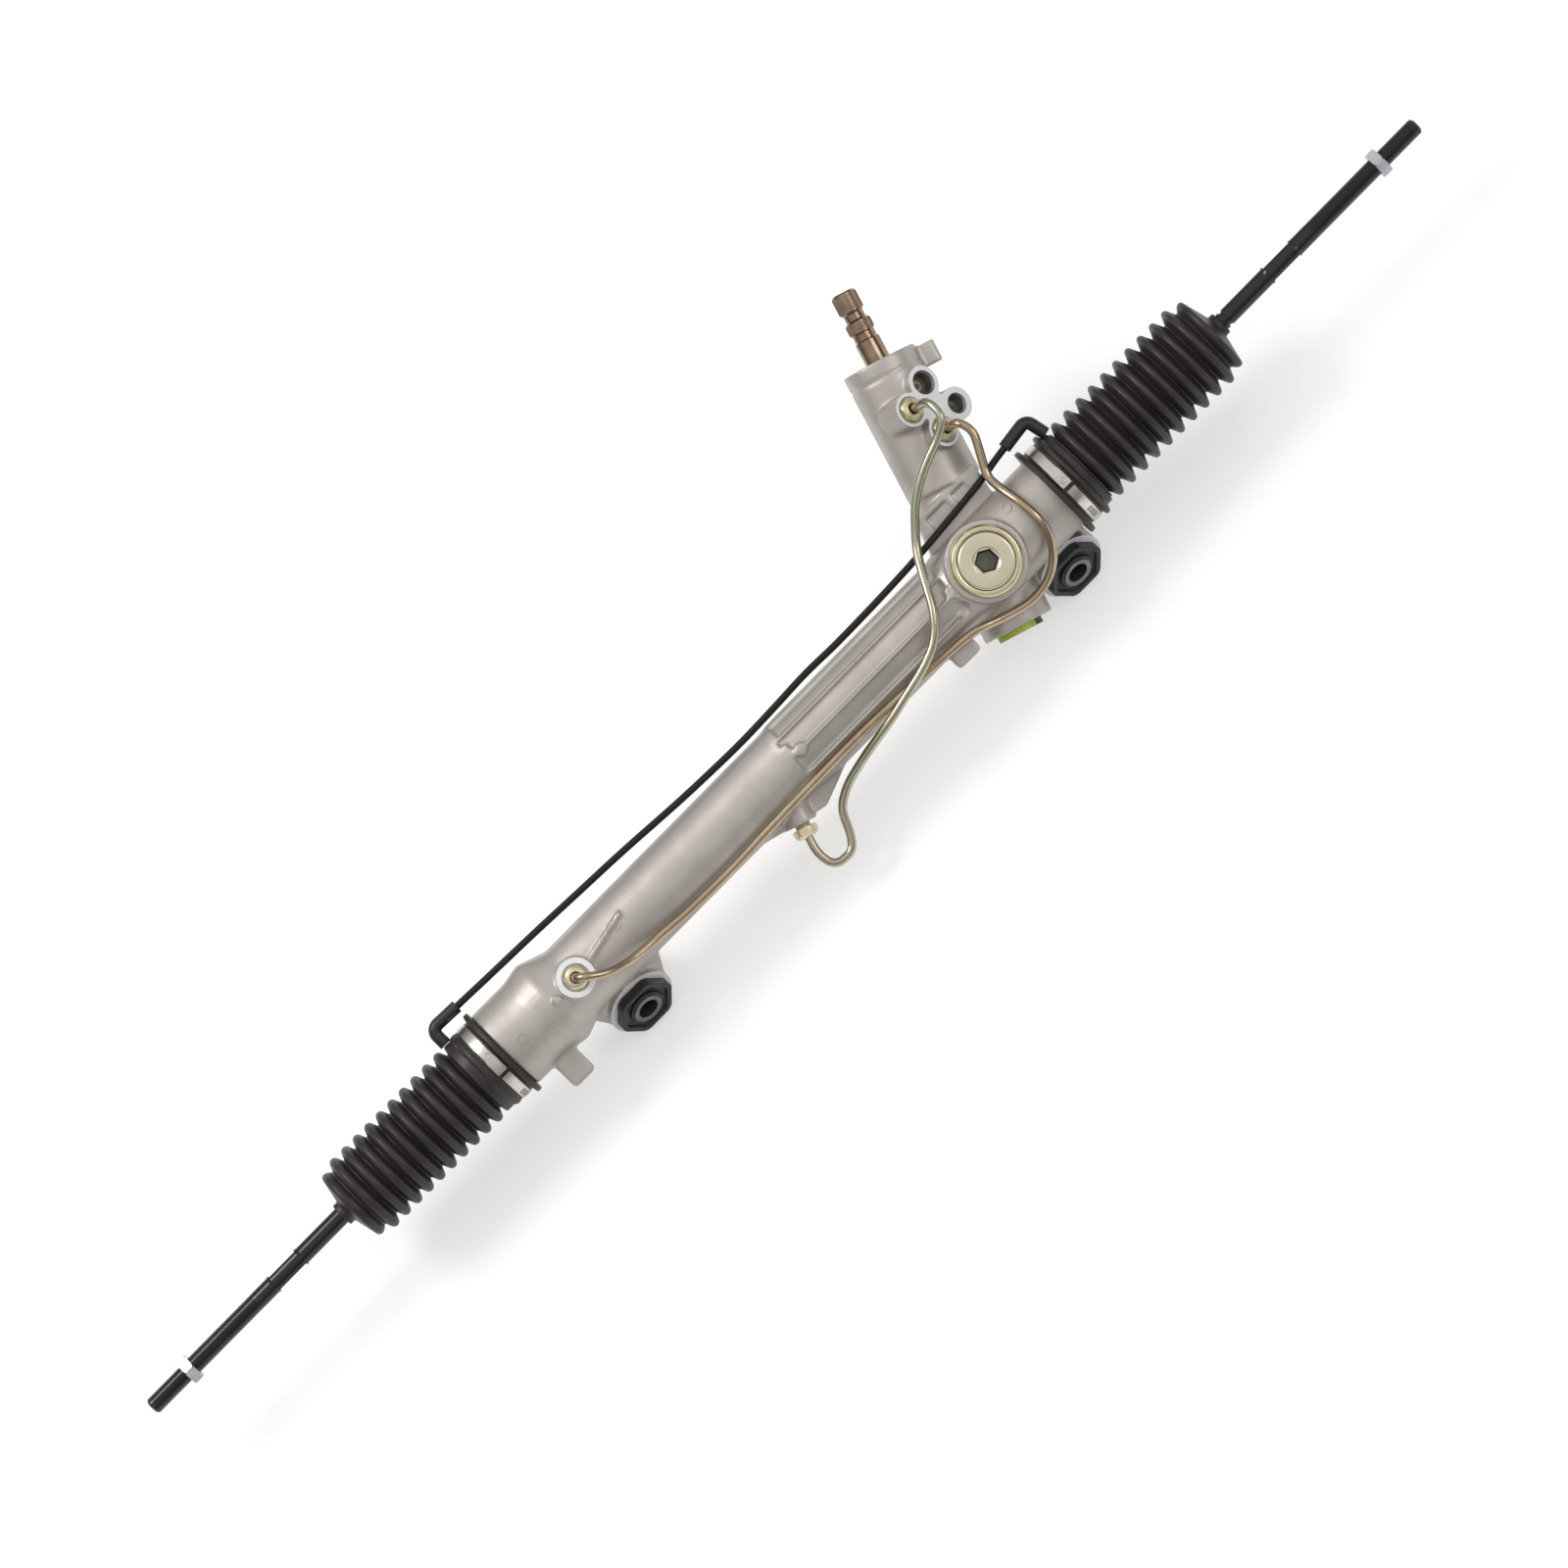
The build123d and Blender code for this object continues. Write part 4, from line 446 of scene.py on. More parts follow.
ease = casting.modifiers.new("ease", "CORRECTIVE_SMOOTH")
ease.factor = 0.5
ease.iterations = 3
ease.use_only_smooth = True
bpy.ops.object.modifier_apply(modifier="ease")
thin = casting.modifiers.new("thin", "DECIMATE")
thin.ratio = min(1.0, most_triangles / (2 * len(casting.data.polygons)))
bpy.ops.object.modifier_apply(modifier="thin")


def facing(place, height, radius, axis, side):
    """Flat disc that a milling cutter takes off above a height."""
    top = height + 6
    return turned("facing", [(height, 0), (height, radius), (top, radius), (top, 0)], place, axis, side, 40)


block_middle = pinion_foot + pinion_axis * 105 * mm
faces = [
    facing(block_middle, 31.8, 34, port_normal, port_side),
    facing(pinion_foot, 149.8, 34, pinion_axis, pinion_side),
    facing(pinion_foot, 47.8, 25.5, -pinion_axis, pinion_side),
    facing(yoke_foot, 30.8, 24.3, to_yoke, along),
    facing(left_port, 31.8, 14, to_yoke, along),
    facing(middle_port, 36.5, 12, -pinion_axis, to_yoke),
]
for ear_x in ear_places.values():
    for way in (-1, 1):
        faces.append(facing(along * ear_x * mm, 18.85, 25.6, ear_axis * way, along))
facings = joined("facings", faces)
facings.data.materials.clear()
facings.data.materials.append(machined_metal)
cut_away(casting, facings)

hose_bores = []
for port, radius in (("return", 7.0), ("pressure", 5.8)):
    hose_bores.append(
        turned(
            "bore",
            [(40, 0), (40, radius + 1.4), (31.7, radius + 1.4), (30.4, radius), (23, radius), (23, 0)],
            port_centre(port), port_normal, port_side, 48,
        )
    )
port_face = 32
recess_outline = [
    (port_face + 8, 0), (port_face + 8, 9.5), (port_face - 0.3, 9.5), (port_face - 4, 8.9), (port_face - 4, 0),
]
for place, axis, side in (
    (port_centre("middle"), port_normal, port_side),
    (port_centre("left"), port_normal, port_side),
    (left_port, to_yoke, along),
):
    hose_bores.append(turned("bore", recess_outline, place, axis, side, 48))
# The bores' dark metal is painted shade: it stands in for the shade inside the holes, not for a darker drilled finish.
painted_bore_shade = finish("painted_bore_shade", (0.26, 0.245, 0.225), (0.15, 0.14, 0.125), 0.8, (0.34, 0.48), 60, 2400, 0.02)
# The remesh leaves the cylinder uneven, so it is bored out again for the piston
cylinder_radius = 20.15
cylinder_outline = [(-280.5, 0), (-280.5, cylinder_radius), (-10, cylinder_radius), (-10, 0)]
cylinder = [turned("cylinder", cylinder_outline, rack_middle, along, to_yoke, 96)]
for bores, bore_metal in (
    (hose_bores[:2], painted_bore_shade), (hose_bores[2:], machined_metal), (cylinder, painted_bore_shade)
):
    drill = joined("drill", bores)
    drill.data.materials.clear()
    drill.data.materials.append(bore_metal)
    cut_away(casting, drill)
pick(casting)
bpy.ops.object.shade_smooth_by_angle(angle=radians(42))
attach(casting, "housing")
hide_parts("rack_housing")

# Ejector marks: small raised rings of the same aluminium, which the die's pins leave
# on the casting where they push it out of the mould.
for mark, (mark_x, up, out) in enumerate(((-177.0, 6.0, 25.9), (-272.0, -3.0, 30.9), (197.0, 15.0, 24.4))):
    foot = rack_middle + along * mark_x * mm
    tilt = Vector(to_tower * up + to_yoke * out).normalized()
    reach = sqrt(up * up + out * out)
    ring = turned(
        f"ejector_mark_{mark}",
        [(reach - 1, 3.0), (reach + 0.25, 3.15, 0.15), (reach + 0.25, 3.75, 0.15), (reach - 1, 3.9)],
        foot, tilt, along, 40, closed=True,
    )
    dress(ring, cast_metal, "cast", "housing")

# Bellows: moulded rubber boots with eleven folds, a clamped cuff and a small end on the rod.
# Each is three lengths that meet halfway down a fold.
boot_rubber = finish(
    "boot_rubber", (0.034, 0.028, 0.025), (0.018, 0.015, 0.014), 0.0, (0.36, 0.52), 36, 1300, 0.03
)
boot_rubber.node_tree.nodes["Principled BSDF"].inputs["Specular IOR Level"].default_value = 0.42


def boot_outline(lip_back, seat, cuff, lip, collar, first, last, crest, valley, flat, crest_round):
    """Closed wall outline of a bellows, with places measured outwards from the housing's end."""
    pitch = (last - first) / 10
    outer = [
        (-lip_back - 2, seat), (-lip_back - 2, lip, 0.6), (-lip_back + 1.4, lip, 0.8), (-lip_back + 2.4, cuff, 0.4),
        (-lip_back + 13, cuff, 0.4), (-lip_back + 13.8, collar, 0.8), (-lip_back + 16.6, collar, 0.8),
        (-lip_back + 18.4, cuff - 1, 0.6), (first - pitch / 2 - 1.6, cuff - 1, 1.2),
    ]
    inner = [(2.5, seat)]
    for fold in range(11):
        place = first + fold * pitch
        top = crest if fold < 10 else crest - 3.5
        outer += [(place - pitch / 2 - 0.5, valley, 0.45), (place - pitch / 2 + 0.5, valley, 0.45)]
        outer += [(place - flat, top, crest_round), (place + flat, top, crest_round)]
        inner += [(place - pitch / 2, valley - 1.8), (place, top - 2.6)]
    small_start = last + pitch * 0.6
    outer += [(small_start, 8.45, 1.0), (small_start + 4, 8.45, 0.5)]
    inner += [(small_start - 1.8, 6.55), (small_start + 4, 6.55)]
    return outer + inner[::-1]


def boot_length(name, whole, low, high, node):
    """One length of a bellows between two cuts across it."""
    at_rest()
    part = whole.copy()
    part.data = whole.data.copy()
    part.name = name
    bpy.context.scene.collection.objects.link(part)
    pick(part)
    bpy.ops.object.mode_set(mode="EDIT")
    for cut_x, below in ((low, True), (high, False)):
        if cut_x is not None:
            bpy.ops.mesh.select_all(action="SELECT")
            bpy.ops.mesh.bisect(
                plane_co=(cut_x * mm, 0, 0), plane_no=(1, 0, 0), use_fill=True, clear_inner=below, clear_outer=not below
            )
    bpy.ops.object.mode_set(mode="OBJECT")
    bpy.ops.object.shade_smooth_by_angle(angle=radians(38))
    dress(part, boot_rubber, "bellows", None, node)
    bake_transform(part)


right_boot = turned(
    "right_boot", boot_outline(22.0, 28.53, 31.6, 36.0, 34.8, 8.2, 122.6, 32.6, 25.0, 1.7, 1.6),
    rack_middle + along * 250 * mm, along, to_yoke, 96, closed=True,
)
boot_length("right_boot_folds", right_boot, None, 358.3, "right_bellows")
boot_length("right_boot_collar", right_boot, 358.3, 375.0, "right_bellows")
boot_length("right_boot_mouth", right_boot, 375.0, None, "right_bellows")
bpy.data.objects.remove(right_boot)
left_boot = turned(
    "left_boot", boot_outline(15.5, 28.03, 30.6, 35.0, 31.2, 16.2, 123.8, 30.8, 24.5, 2.3, 2.2),
    rack_middle - along * 304.5 * mm, -along, to_yoke, 96, closed=True,
)
boot_length("left_boot_folds", left_boot, -414.9, None, "left_bellows")
boot_length("left_boot_collar", left_boot, -431.5, -414.9, "left_bellows")
boot_length("left_boot_mouth", left_boot, None, -431.5, "left_bellows")
bpy.data.objects.remove(left_boot)

# Bellows clamps: thin stainless bands, stamped with slots and drawn tight round the cuffs.
# A riveted buckle on the yoke side locks each of them.
band_steel = finish(
    "band_steel", (0.66, 0.63, 0.58), (0.50, 0.47, 0.43), 1.0, (0.20, 0.34), 80, 2200, 0.010
)
for side_name, start_x, way, inner, shift in (("left", -292.0, -1, 30.63, 12), ("right", 231.0, 1, 31.63, 0)):
    foot = rack_middle + along * start_x * mm
    axis = along * way

    def band(low, high, bottom, top, first, last, rounding=0.2):
        """Curved plate on the cuff; turns are measured from the yoke side, away from the tower."""
        return turned(
            "band",
            [(low, bottom), (low, top, rounding), (high, top, rounding), (high, bottom)],
            foot, axis, to_yoke, max(4, int((last - first) / 3)), sweep=last - first,
            start=last + shift if way > 0 else -first - shift, closed=True,
        )

    rivet_axis = Matrix.Rotation(radians((3 - shift) * way), 3, -along) @ to_yoke
    # The strap, with five slots left between two rails and the bridges that join them
    layers = [
        band(1.0, 8.0, inner, inner + 0.8, 10.5, 46),
        band(1.0, 8.0, inner, inner + 0.8, 66, 365),
        band(1.0, 2.4, inner + 0.02, inner + 0.78, 45.9, 66.1),
        band(6.6, 8.0, inner + 0.02, inner + 0.78, 45.9, 66.1),
    ]
    for bridge in range(4):
        bridge_start = 48 + bridge * 4.5
        layers.append(band(2.3, 6.7, inner + 0.04, inner + 0.76, bridge_start, bridge_start + 2.5, 0.05))
    layers += [
        band(1.3, 7.7, inner + 0.5, inner + 1.35, -40, -18, 0.3),
        band(0.8, 8.2, inner + 0.5, inner + 1.9, -19, 5.0, 0.45),
        band(1.3, 7.7, inner + 0.5, inner + 1.3, 11.5, 42, 0.3),
        band(0.6, 1.5, inner + 0.3, inner + 2.3, -16, 3.0, 0.3),
        band(7.5, 8.4, inner + 0.3, inner + 2.3, -16, 3.0, 0.3),
        turned(
            "rivet",
            [
                (inner + 1.6, 0), (inner + 1.6, 2.5), (inner + 2.35, 2.5, 0.3), (inner + 2.35, 1.8, 0.25),
                (inner + 1.95, 1.6), (inner + 1.95, 0),
            ],
            foot + axis * 4.5 * mm, rivet_axis, along, 32,
        ),
    ]
    clamp = joined(f"{side_name}_clamp", layers)
    dress(clamp, band_steel, "band", "housing", f"{side_name}_bellows_clamp")

# Chassis bushings: black rubber moulded onto a steel sleeve and pressed into each ear of the housing,
# with a six-sided flange at each end. The chassis bolt goes through the sleeve.
bushing_rubber = finish(
    "bushing_rubber", (0.020, 0.019, 0.019), (0.011, 0.010, 0.010), 0.0, (0.34, 0.52), 50, 1500, 0.03
)
sleeve_steel = finish(
    "sleeve_steel", (0.24, 0.235, 0.225), (0.13, 0.125, 0.12), 0.9, (0.28, 0.44), 60, 1800, 0.02
)
flange_across = 39.4
for side_name, ear_x in ear_places.items():
    ear = along * ear_x * mm
    layers = []
    for way in (-1, 1):
        face = ear_axis * way
        at_rest()
        bpy.ops.mesh.primitive_cylinder_add(
            vertices=6, radius=flange_across / sqrt(3) * mm, depth=7 * mm, location=ear + face * 22.5 * mm,
            rotation=(radians(90), radians(30), 0),
        )
        flange = bpy.context.object
        bpy.ops.object.transform_apply()
        bpy.ops.object.mode_set(mode="EDIT")
        bpy.ops.mesh.select_mode(type="EDGE")
        bpy.ops.mesh.select_all(action="DESELECT")
        mesh = bmesh.from_edit_mesh(flange.data)
        for edge in mesh.edges:
            edge.select = abs((edge.verts[0].co - edge.verts[1].co).normalized().y) > 0.9
        mesh.select_flush_mode()
        bpy.ops.mesh.bevel(offset=4.2 * mm, segments=7, affect="EDGES")
        bpy.ops.mesh.select_mode(type="FACE")
        bpy.ops.mesh.select_all(action="DESELECT")
        mesh = bmesh.from_edit_mesh(flange.data)
        for poly in mesh.faces:
            poly.select = poly.normal.dot(face) > 0.9
        mesh.select_flush_mode()
        bpy.ops.mesh.inset(thickness=3.6 * mm)
        bpy.ops.mesh.inset(thickness=0.8 * mm)
        bpy.ops.transform.translate(value=face * -2.6 * mm)
        bpy.ops.mesh.select_all(action="SELECT")
        bpy.ops.mesh.normals_make_consistent(inside=False)
        bpy.ops.object.mode_set(mode="OBJECT")
        soften = flange.modifiers.new("soften", "BEVEL")
        soften.width = 0.9 * mm
        soften.segments = 3
        soften.limit_method = "ANGLE"
        soften.angle_limit = radians(28)
        bpy.ops.object.modifier_apply(modifier="soften")
        hole = turned("hole", [(-4, 0), (-4, 13.6), (40, 13.6), (40, 0)], ear + face * 15 * mm, face, along, 64)
        cut_away(flange, hole)
        layers.append(flange)
        layers.append(
            turned(
                "lip",
                [(18.6, 10.75), (18.6, 14.2), (23.0, 14.0, 0.4), (23.4, 12.8, 0.5), (25.9, 12.6, 0.5), (25.9, 10.75)],
                ear, face, along, 64, closed=True,
            )
        )
    core_outline = [(-19, 10.73), (-19, 17.45), (19, 17.45), (19, 10.73)]
    layers.append(turned("core", core_outline, ear, ear_axis, along, 64, closed=True))
    bushing = joined(f"{side_name}_bushing", layers)
    pick(bushing)
    bpy.ops.object.shade_smooth_by_angle(angle=radians(32))
    dress(bushing, bushing_rubber, "rubber", "housing", f"{side_name}_bushing_rubber")
    sleeve = turned(
        f"{side_name}_sleeve",
        [(-27, 7.25, 0.5), (-27, 10.7, 0.5), (27, 10.7, 0.5), (27, 7.25, 0.5)],
        ear, ear_axis, along, 64, closed=True,
    )
    dress(sleeve, sleeve_steel, "steel", "housing", f"{side_name}_bushing_sleeve")

# Tie rods: forged steel rods coated glossy black, with flats for a spanner. The thread for the
# outer ball joint is wound on here as a ridge, and the rods keep their CAD shape.
rod_black = finish(
    "rod_black", (0.012, 0.011, 0.011), (0.006, 0.006, 0.006), 0.0, (0.12, 0.22), 60, 1500, 0.010, coat=0.2
)
rod_black.node_tree.nodes["Principled BSDF"].inputs["Specular IOR Level"].default_value = 0.35
coat_nodes(rod_black, "left_tie_rod", "right_tie_rod")
thread_pitch = 1.5


def thread_ridge(foot, way, start, end, middle):
    """Ridge of four sides that a screw winds round a rod."""
    at_rest()
    bpy.ops.mesh.primitive_circle_add(vertices=4, radius=0.36 * mm, location=foot)
    ridge = bpy.context.object
    bpy.ops.object.mode_set(mode="EDIT")
    bpy.ops.mesh.select_all(action="SELECT")
    bpy.ops.transform.rotate(value=radians(90), orient_axis="X", center_override=foot)
    bpy.ops.transform.translate(value=(way * start * mm, 0, middle * mm))
    bpy.ops.object.mode_set(mode="OBJECT")
    wind = ridge.modifiers.new("wind", "SCREW")
    wind.axis = "X"
    wind.screw_offset = way * thread_pitch * mm
    wind.iterations = int((end - start) / thread_pitch)
    wind.steps = 28
    wind.render_steps = 28
    bpy.ops.object.modifier_apply(modifier="wind")
    bpy.ops.object.transform_apply()
    bpy.ops.object.mode_set(mode="EDIT")
    bpy.ops.mesh.select_all(action="SELECT")
    bpy.ops.mesh.fill_holes(sides=0)
    bpy.ops.mesh.select_all(action="SELECT")
    bpy.ops.mesh.normals_make_consistent(inside=False)
    bpy.ops.object.mode_set(mode="OBJECT")
    bpy.ops.object.shade_smooth_by_angle(angle=radians(30))
    return ridge


for side_name, ball_x, way in (("left", -411.5, -1), ("right", 361.5, 1)):
    ball = rack_middle + along * ball_x * mm
    threads = [
        thread_ridge(ball, way, 107.5, 170.0, 6.1),
        thread_ridge(ball, way, 170.0, 202.0, 5.9),
    ]
    thread = joined(f"{side_name}_rod_thread", threads)
    dress(thread, rod_black, "black_steel", f"{side_name}_rod")

# Jam nuts: steel hexagon nuts, zinc plated silver, which lock the outer ball joints on the rods' threads.
# They keep their CAD shape.
nut_zinc = finish("nut_zinc", (0.60, 0.61, 0.64), (0.44, 0.45, 0.48), 0.85, (0.26, 0.40), 90, 1800, 0.012)
coat_nodes(nut_zinc, "left_jam_nut", "right_jam_nut")

# Yoke plug and locknut: turned steel, yellow zinc plated, with fine turning marks.
# The locknut's rim is rounded, the plug shows its thread at the rim and a six-sided socket, whose walls are painted
# dark as painted shade.
plug_zinc = finish("plug_zinc", (0.74, 0.63, 0.49), (0.60, 0.60, 0.42), 0.9, (0.22, 0.34), 45, 1600, 0.012)
locknut_zinc = finish("locknut_zinc", (0.74, 0.67, 0.46), (0.52, 0.50, 0.30), 0.95, (0.16, 0.28), 60, 1600, 0.012)
plug_nodes = plug_zinc.node_tree.nodes
plug_links = plug_zinc.node_tree.links
lathe_place = plug_nodes.new("ShaderNodeTexCoord")
lathe_offset = plug_nodes.new("ShaderNodeVectorMath")
lathe_offset.operation = "SUBTRACT"
lathe_offset.inputs[1].default_value = yoke_foot
lathe_out = plug_nodes.new("ShaderNodeVectorMath")
lathe_out.operation = "LENGTH"
lathe_rings = plug_nodes.new("ShaderNodeTexNoise")
lathe_rings.noise_dimensions = "1D"
lathe_rings.inputs["Scale"].default_value = 2600
lathe_bump = plug_nodes.new("ShaderNodeBump")
lathe_bump.inputs["Distance"].default_value = 0.05 * mm
plug_links.new(lathe_place.outputs["Object"], lathe_offset.inputs[0])
plug_links.new(lathe_offset.outputs[0], lathe_out.inputs[0])
plug_links.new(lathe_out.outputs["Value"], lathe_rings.inputs["W"])
plug_links.new(lathe_rings.outputs["Fac"], lathe_bump.inputs["Height"])
plug_links.new(plug_nodes["bump"].outputs["Normal"], lathe_bump.inputs["Normal"])
plug_links.new(lathe_bump.outputs["Normal"], plug_nodes["Principled BSDF"].inputs["Normal"])
locknut = turned(
    "locknut",
    [
        (31, 19.3), (31, 24.3, 0.3), (34.2, 24.3, 1.7), (36.9, 22.6, 1.5), (37.2, 20.6, 0.6), (36.8, 19.5, 0.2),
        (35.8, 19.3),
    ],
    yoke_foot, to_yoke, along, 96, closed=True,
)
dress(locknut, locknut_zinc, "zinc", "housing", "yoke_locknut")
plug = turned(
    "plug",
    [
        (24, 0), (24, 9.9), (24, 19.1), (36.4, 19.1), (36.7, 18.7), (37.0, 19.0, 0.1), (37.6, 18.9, 0.2),
        (38.4, 18.0, 0.5), (38.5, 17.0), (38.5, 9.4, 0.2), (37.9, 8.4, 0.1), (37.9, 0),
    ],
    yoke_foot, to_yoke, along, 96,
)
socket_across = 14.4
at_rest()
bpy.ops.mesh.primitive_cylinder_add(vertices=6, radius=socket_across / sqrt(3) * mm, depth=16 * mm)
socket = bpy.context.object
bpy.ops.object.mode_set(mode="EDIT")
bpy.ops.mesh.select_mode(type="FACE")
mesh = bmesh.from_edit_mesh(socket.data)
for poly in mesh.faces:
    poly.select = poly.normal.z < -0.9
mesh.select_flush_mode()
bpy.ops.mesh.inset(thickness=1.2 * mm)
bpy.ops.transform.translate(value=(0, 0, -1.6 * mm))
bpy.ops.object.mode_set(mode="OBJECT")
socket_turn = Matrix((along, to_tower, to_yoke)).transposed()
socket.data.transform(Matrix.Translation(yoke_foot + to_yoke * 38.5 * mm) @ socket_turn.to_4x4())
# The socket's walls get a dark metal that is painted shade for inside the hex socket; the plug is one zinc-plated
# piece.
painted_socket_shade = finish("painted_socket_shade", (0.20, 0.19, 0.16), (0.12, 0.115, 0.10), 0.8, (0.4, 0.55), 60, 1500, 0.02)
socket.data.materials.append(painted_socket_shade)
plug.data.materials.append(plug_zinc)
cut_away(plug, socket)
pick(plug)
bpy.ops.object.shade_smooth_by_angle(angle=radians(38))
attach(plug, "housing")
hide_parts("yoke_plug")

# Input shaft: hardened steel with a brown finish, held by the bearing in the tower. Its collar and head
# have rolled serrations, which the steering column's joint clamps onto.
shaft_brown = finish("shaft_brown", (0.38, 0.275, 0.185), (0.21, 0.145, 0.097), 1.0, (0.12, 0.24), 90, 2000, 0.010)
serration_brown = finish(
    "serration_brown", (0.30, 0.205, 0.155), (0.20, 0.135, 0.105), 0.7, (0.36, 0.52), 90, 1800, 0.03
)
coat_nodes(shaft_brown, "input_shaft")
serration_steps = 80
for serration_name, bottom, top, radius in (
    ("collar_serrations", 172.2, 179.3, 8.75), ("head_serrations", 187.2, 199.3, 8.5),
):
    serrations = turned(
        serration_name,
        [
            (bottom, radius - 0.7), (bottom, radius - 0.05), (bottom + 0.8, radius + 0.3),
            (top - 0.8, radius + 0.3), (top, radius - 0.05), (top, radius - 0.7),
        ],
        pinion_foot, pinion_axis, to_yoke, serration_steps, closed=True,
    )
    bpy.ops.object.mode_set(mode="EDIT")
    bpy.ops.mesh.select_mode(type="VERT")
    mesh = bmesh.from_edit_mesh(serrations.data)
    for vert in mesh.verts:
        arm = vert.co - pinion_foot
        across = arm - pinion_axis * arm.dot(pinion_axis)
        turn = round(degrees(across.angle(to_yoke)) * serration_steps / 360)
        if across.dot(pinion_side) < 0:
            turn = serration_steps - turn
        vert.select = turn % 2 == 0 and across.length > (radius + 0.2) * mm
    mesh.select_flush_mode()
    bpy.ops.transform.shrink_fatten(value=-0.45 * mm)
    bpy.ops.object.mode_set(mode="OBJECT")
    bpy.ops.object.shade_smooth_by_angle(angle=radians(25))
    dress(serrations, serration_brown, "bronze_steel", "input")

# Hard lines: bent steel tubes, zinc plated yellow, the middle one with a greenish cast. The tubes keep
# their CAD shape, and flare nuts screw their ends into the tower's ports and the cylinder's.
line_zinc = finish("line_zinc", (0.54, 0.43, 0.305), (0.36, 0.275, 0.18), 1.0, (0.15, 0.27), 30, 1800, 0.008)
green_zinc = finish("green_zinc", (0.43, 0.50, 0.36), (0.44, 0.33, 0.245), 1.0, (0.15, 0.27), 22, 1800, 0.008)
brass_zinc = finish("brass_zinc", (0.86, 0.75, 0.55), (0.66, 0.57, 0.36), 0.8, (0.30, 0.42), 60, 1800, 0.012)
coat_nodes(line_zinc, "left_line")
coat_nodes(green_zinc, "middle_line")
coat_nodes(brass_zinc, "port_seats")
nut_across = 15


def flare_nut(foot, axis, side):
    """Tube nut: a six-sided head with a domed end, on a threaded barrel, bored wider than the tube."""
    at_rest()
    bpy.ops.mesh.primitive_cylinder_add(vertices=6, radius=nut_across / sqrt(3) * mm, depth=7 * mm)
    head = bpy.context.object
    head_turn = Matrix((side, axis.cross(side), axis)).transposed()
    head.data.transform(Matrix.Translation(foot + axis * 3.5 * mm) @ head_turn.to_4x4())
    head.data.materials.append(brass_zinc)
    dome = turned(
        "dome",
        [(-1, 0), (-1, 7.9), (0.6, 8.5, 0.3), (4.2, 8.5, 1.0), (6.2, 7.2, 0.9), (7.2, 5.4), (7.2, 0)],
        foot, axis, side, 64,
    )
    dome.data.materials.append(brass_zinc)
    pick(head)
    trim = head.modifiers.new("trim", "BOOLEAN")
    trim.operation = "INTERSECT"
    trim.solver = "EXACT"
    trim.object = dome
    bpy.ops.object.modifier_apply(modifier="trim")
    bpy.data.objects.remove(dome)
    bore = turned("bore", [(-2, 0), (-2, 3.04), (3.5, 3.04), (5.6, 3.9), (9, 4.3), (9, 0)], foot, axis, side, 48)
    bore.data.materials.append(brass_zinc)
    cut_away(head, bore)
    threads = [(step / 2 - 6, 5.5 if step % 2 else 4.95) for step in range(12)]
    barrel = turned(
        "barrel",
        [(-6.5, 3.04), (-6.5, 5.0)] + threads + [(0.2, 5.4), (0.2, 3.04)],
        foot, axis, side, 48, closed=True,
    )
    return joined("nut", [head, barrel])


recess_floor = 28
middle_nuts = joined(
    "middle_flare_nuts",
    [
        flare_nut(port_centre("middle") + port_normal * recess_floor * mm, port_normal, port_side),
        flare_nut(middle_port - pinion_axis * 39.2 * mm, -pinion_axis, to_yoke),
    ],
)
left_nuts = joined(
    "left_flare_nuts",
    [
        flare_nut(port_centre("left") + port_normal * recess_floor * mm, port_normal, port_side),
        flare_nut(left_port + to_yoke * recess_floor * mm, to_yoke, along),
    ],
)
for nuts, node in ((middle_nuts, "middle_line_nuts"), (left_nuts, "left_line_nuts")):
    pick(nuts)
    bpy.ops.object.shade_smooth_by_angle(angle=radians(35))
    dress(nuts, brass_zinc, "zinc", "housing", node)

# End cap of the pinion bore: a steel cap screwed into the tower's foot. It keeps its CAD shape.
# Its yellow-green inspection mark covers it, and its colour goes near black past 10.5 mm towards one side.
cap_mark = finish("cap_mark", (0.46, 0.50, 0.06), (0.22, 0.42, 0.05), 0.1, (0.35, 0.5), 45, 1500, 0.02)
cap_nodes = cap_mark.node_tree.nodes
cap_links = cap_mark.node_tree.links
cap_place = cap_nodes.new("ShaderNodeTexCoord")
cap_from = cap_nodes.new("ShaderNodeVectorMath")
cap_from.operation = "SUBTRACT"
cap_from.inputs[1].default_value = pinion_foot
cap_along = cap_nodes.new("ShaderNodeVectorMath")
cap_along.operation = "DOT_PRODUCT"
cap_along.inputs[1].default_value = pinion_side
cap_edge = cap_nodes.new("ShaderNodeMapRange")
cap_edge.inputs["From Min"].default_value = 10.5 * mm
cap_edge.inputs["From Max"].default_value = 11.2 * mm
cap_mix = cap_nodes.new("ShaderNodeMix")
cap_mix.data_type = "RGBA"
cap_mix.inputs[7].default_value = (0.02, 0.02, 0.02, 1)
cap_links.new(cap_place.outputs["Object"], cap_from.inputs[0])
cap_links.new(cap_from.outputs[0], cap_along.inputs[0])
cap_links.new(cap_along.outputs["Value"], cap_edge.inputs["Value"])
cap_links.new(cap_edge.outputs["Result"], cap_mix.inputs["Factor"])
cap_links.new(cap_nodes["tone"].outputs["Color"], cap_mix.inputs[6])
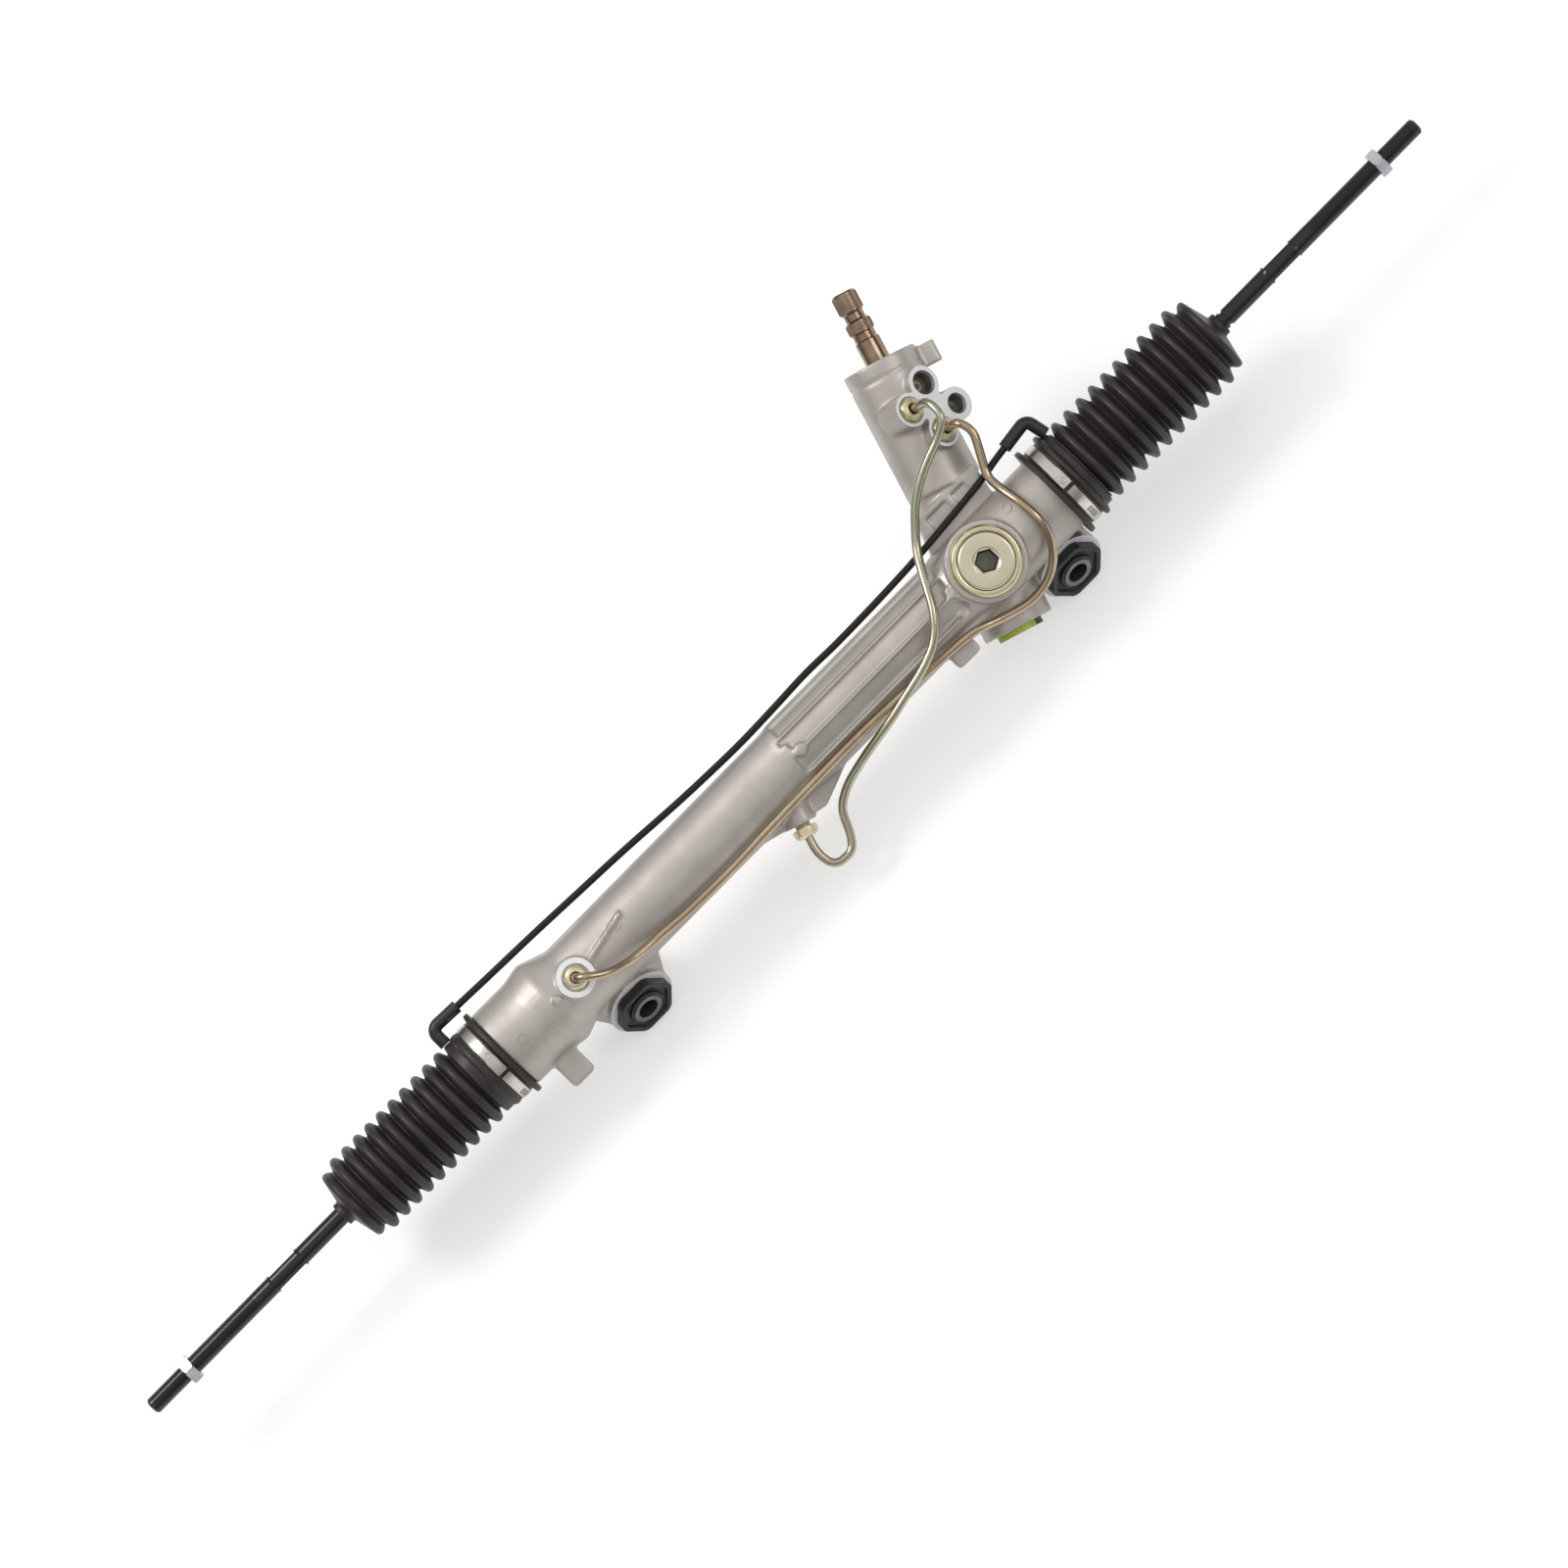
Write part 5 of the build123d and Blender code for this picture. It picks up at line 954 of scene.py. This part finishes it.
cap_links.new(cap_mix.outputs[2], cap_nodes["Principled BSDF"].inputs["Base Color"])
coat_nodes(cap_mark, "pinion_end_cap")

# Breather tube and its elbows: a black plastic tube pushed into moulded rubber elbows, which sit on
# spigots of the bellows' cuffs. All three keep their CAD shape.
tube_black = finish("tube_black", (0.010, 0.010, 0.010), (0.006, 0.006, 0.006), 0.0, (0.14, 0.24), 40, 1500, 0.008)
tube_black.node_tree.nodes["Principled BSDF"].inputs["Specular IOR Level"].default_value = 0.35
coat_nodes(tube_black, "breather_tube")
coat_nodes(bushing_rubber, "left_breather_elbow", "right_breather_elbow")

# Inner pieces: rack, pinion, valve, ball joints, bearings and seals, of ground or hardened steel, cast
# aluminium, rubber and plastic. They keep their CAD shape, since little of them shows.
coat_nodes(cast_metal, "rack_yoke", "rack_bushing", "seal_spacer", "valve_cover", "rack_piston")
ground_steel = finish("ground_steel", (0.58, 0.57, 0.56), (0.46, 0.45, 0.44), 1.0, (0.16, 0.28), 70, 2200, 0.006)
hard_steel = finish("hard_steel", (0.40, 0.39, 0.38), (0.28, 0.27, 0.26), 1.0, (0.24, 0.38), 60, 2000, 0.012)
seal_rubber = finish("seal_rubber", (0.025, 0.022, 0.020), (0.014, 0.012, 0.011), 0.0, (0.4, 0.55), 60, 1500, 0.01)
pale_plastic = finish("pale_plastic", (0.70, 0.67, 0.60), (0.62, 0.58, 0.50), 0.0, (0.38, 0.5), 60, 1500, 0.01)
coat_nodes(ground_steel, "rack_bar", "valve_sleeve", "torsion_bar", "lower_bearing_balls", "lower_bearing_inner")
coat_nodes(ground_steel, "lower_bearing_outer", "upper_bearing", "input_bearing", "snap_ring", "bushing_ring")
coat_nodes(hard_steel, "pinion", "pinion_locknut", "torsion_pin", "yoke_spring")
coat_nodes(hard_steel, "left_ball_socket", "right_ball_socket")
coat_nodes(seal_rubber, "input_seal", "outer_rack_seal", "inner_rack_seal")
coat_nodes(pale_plastic, "left_ball_seat", "right_ball_seat", "valve_rings", "piston_ring", "yoke_liner")
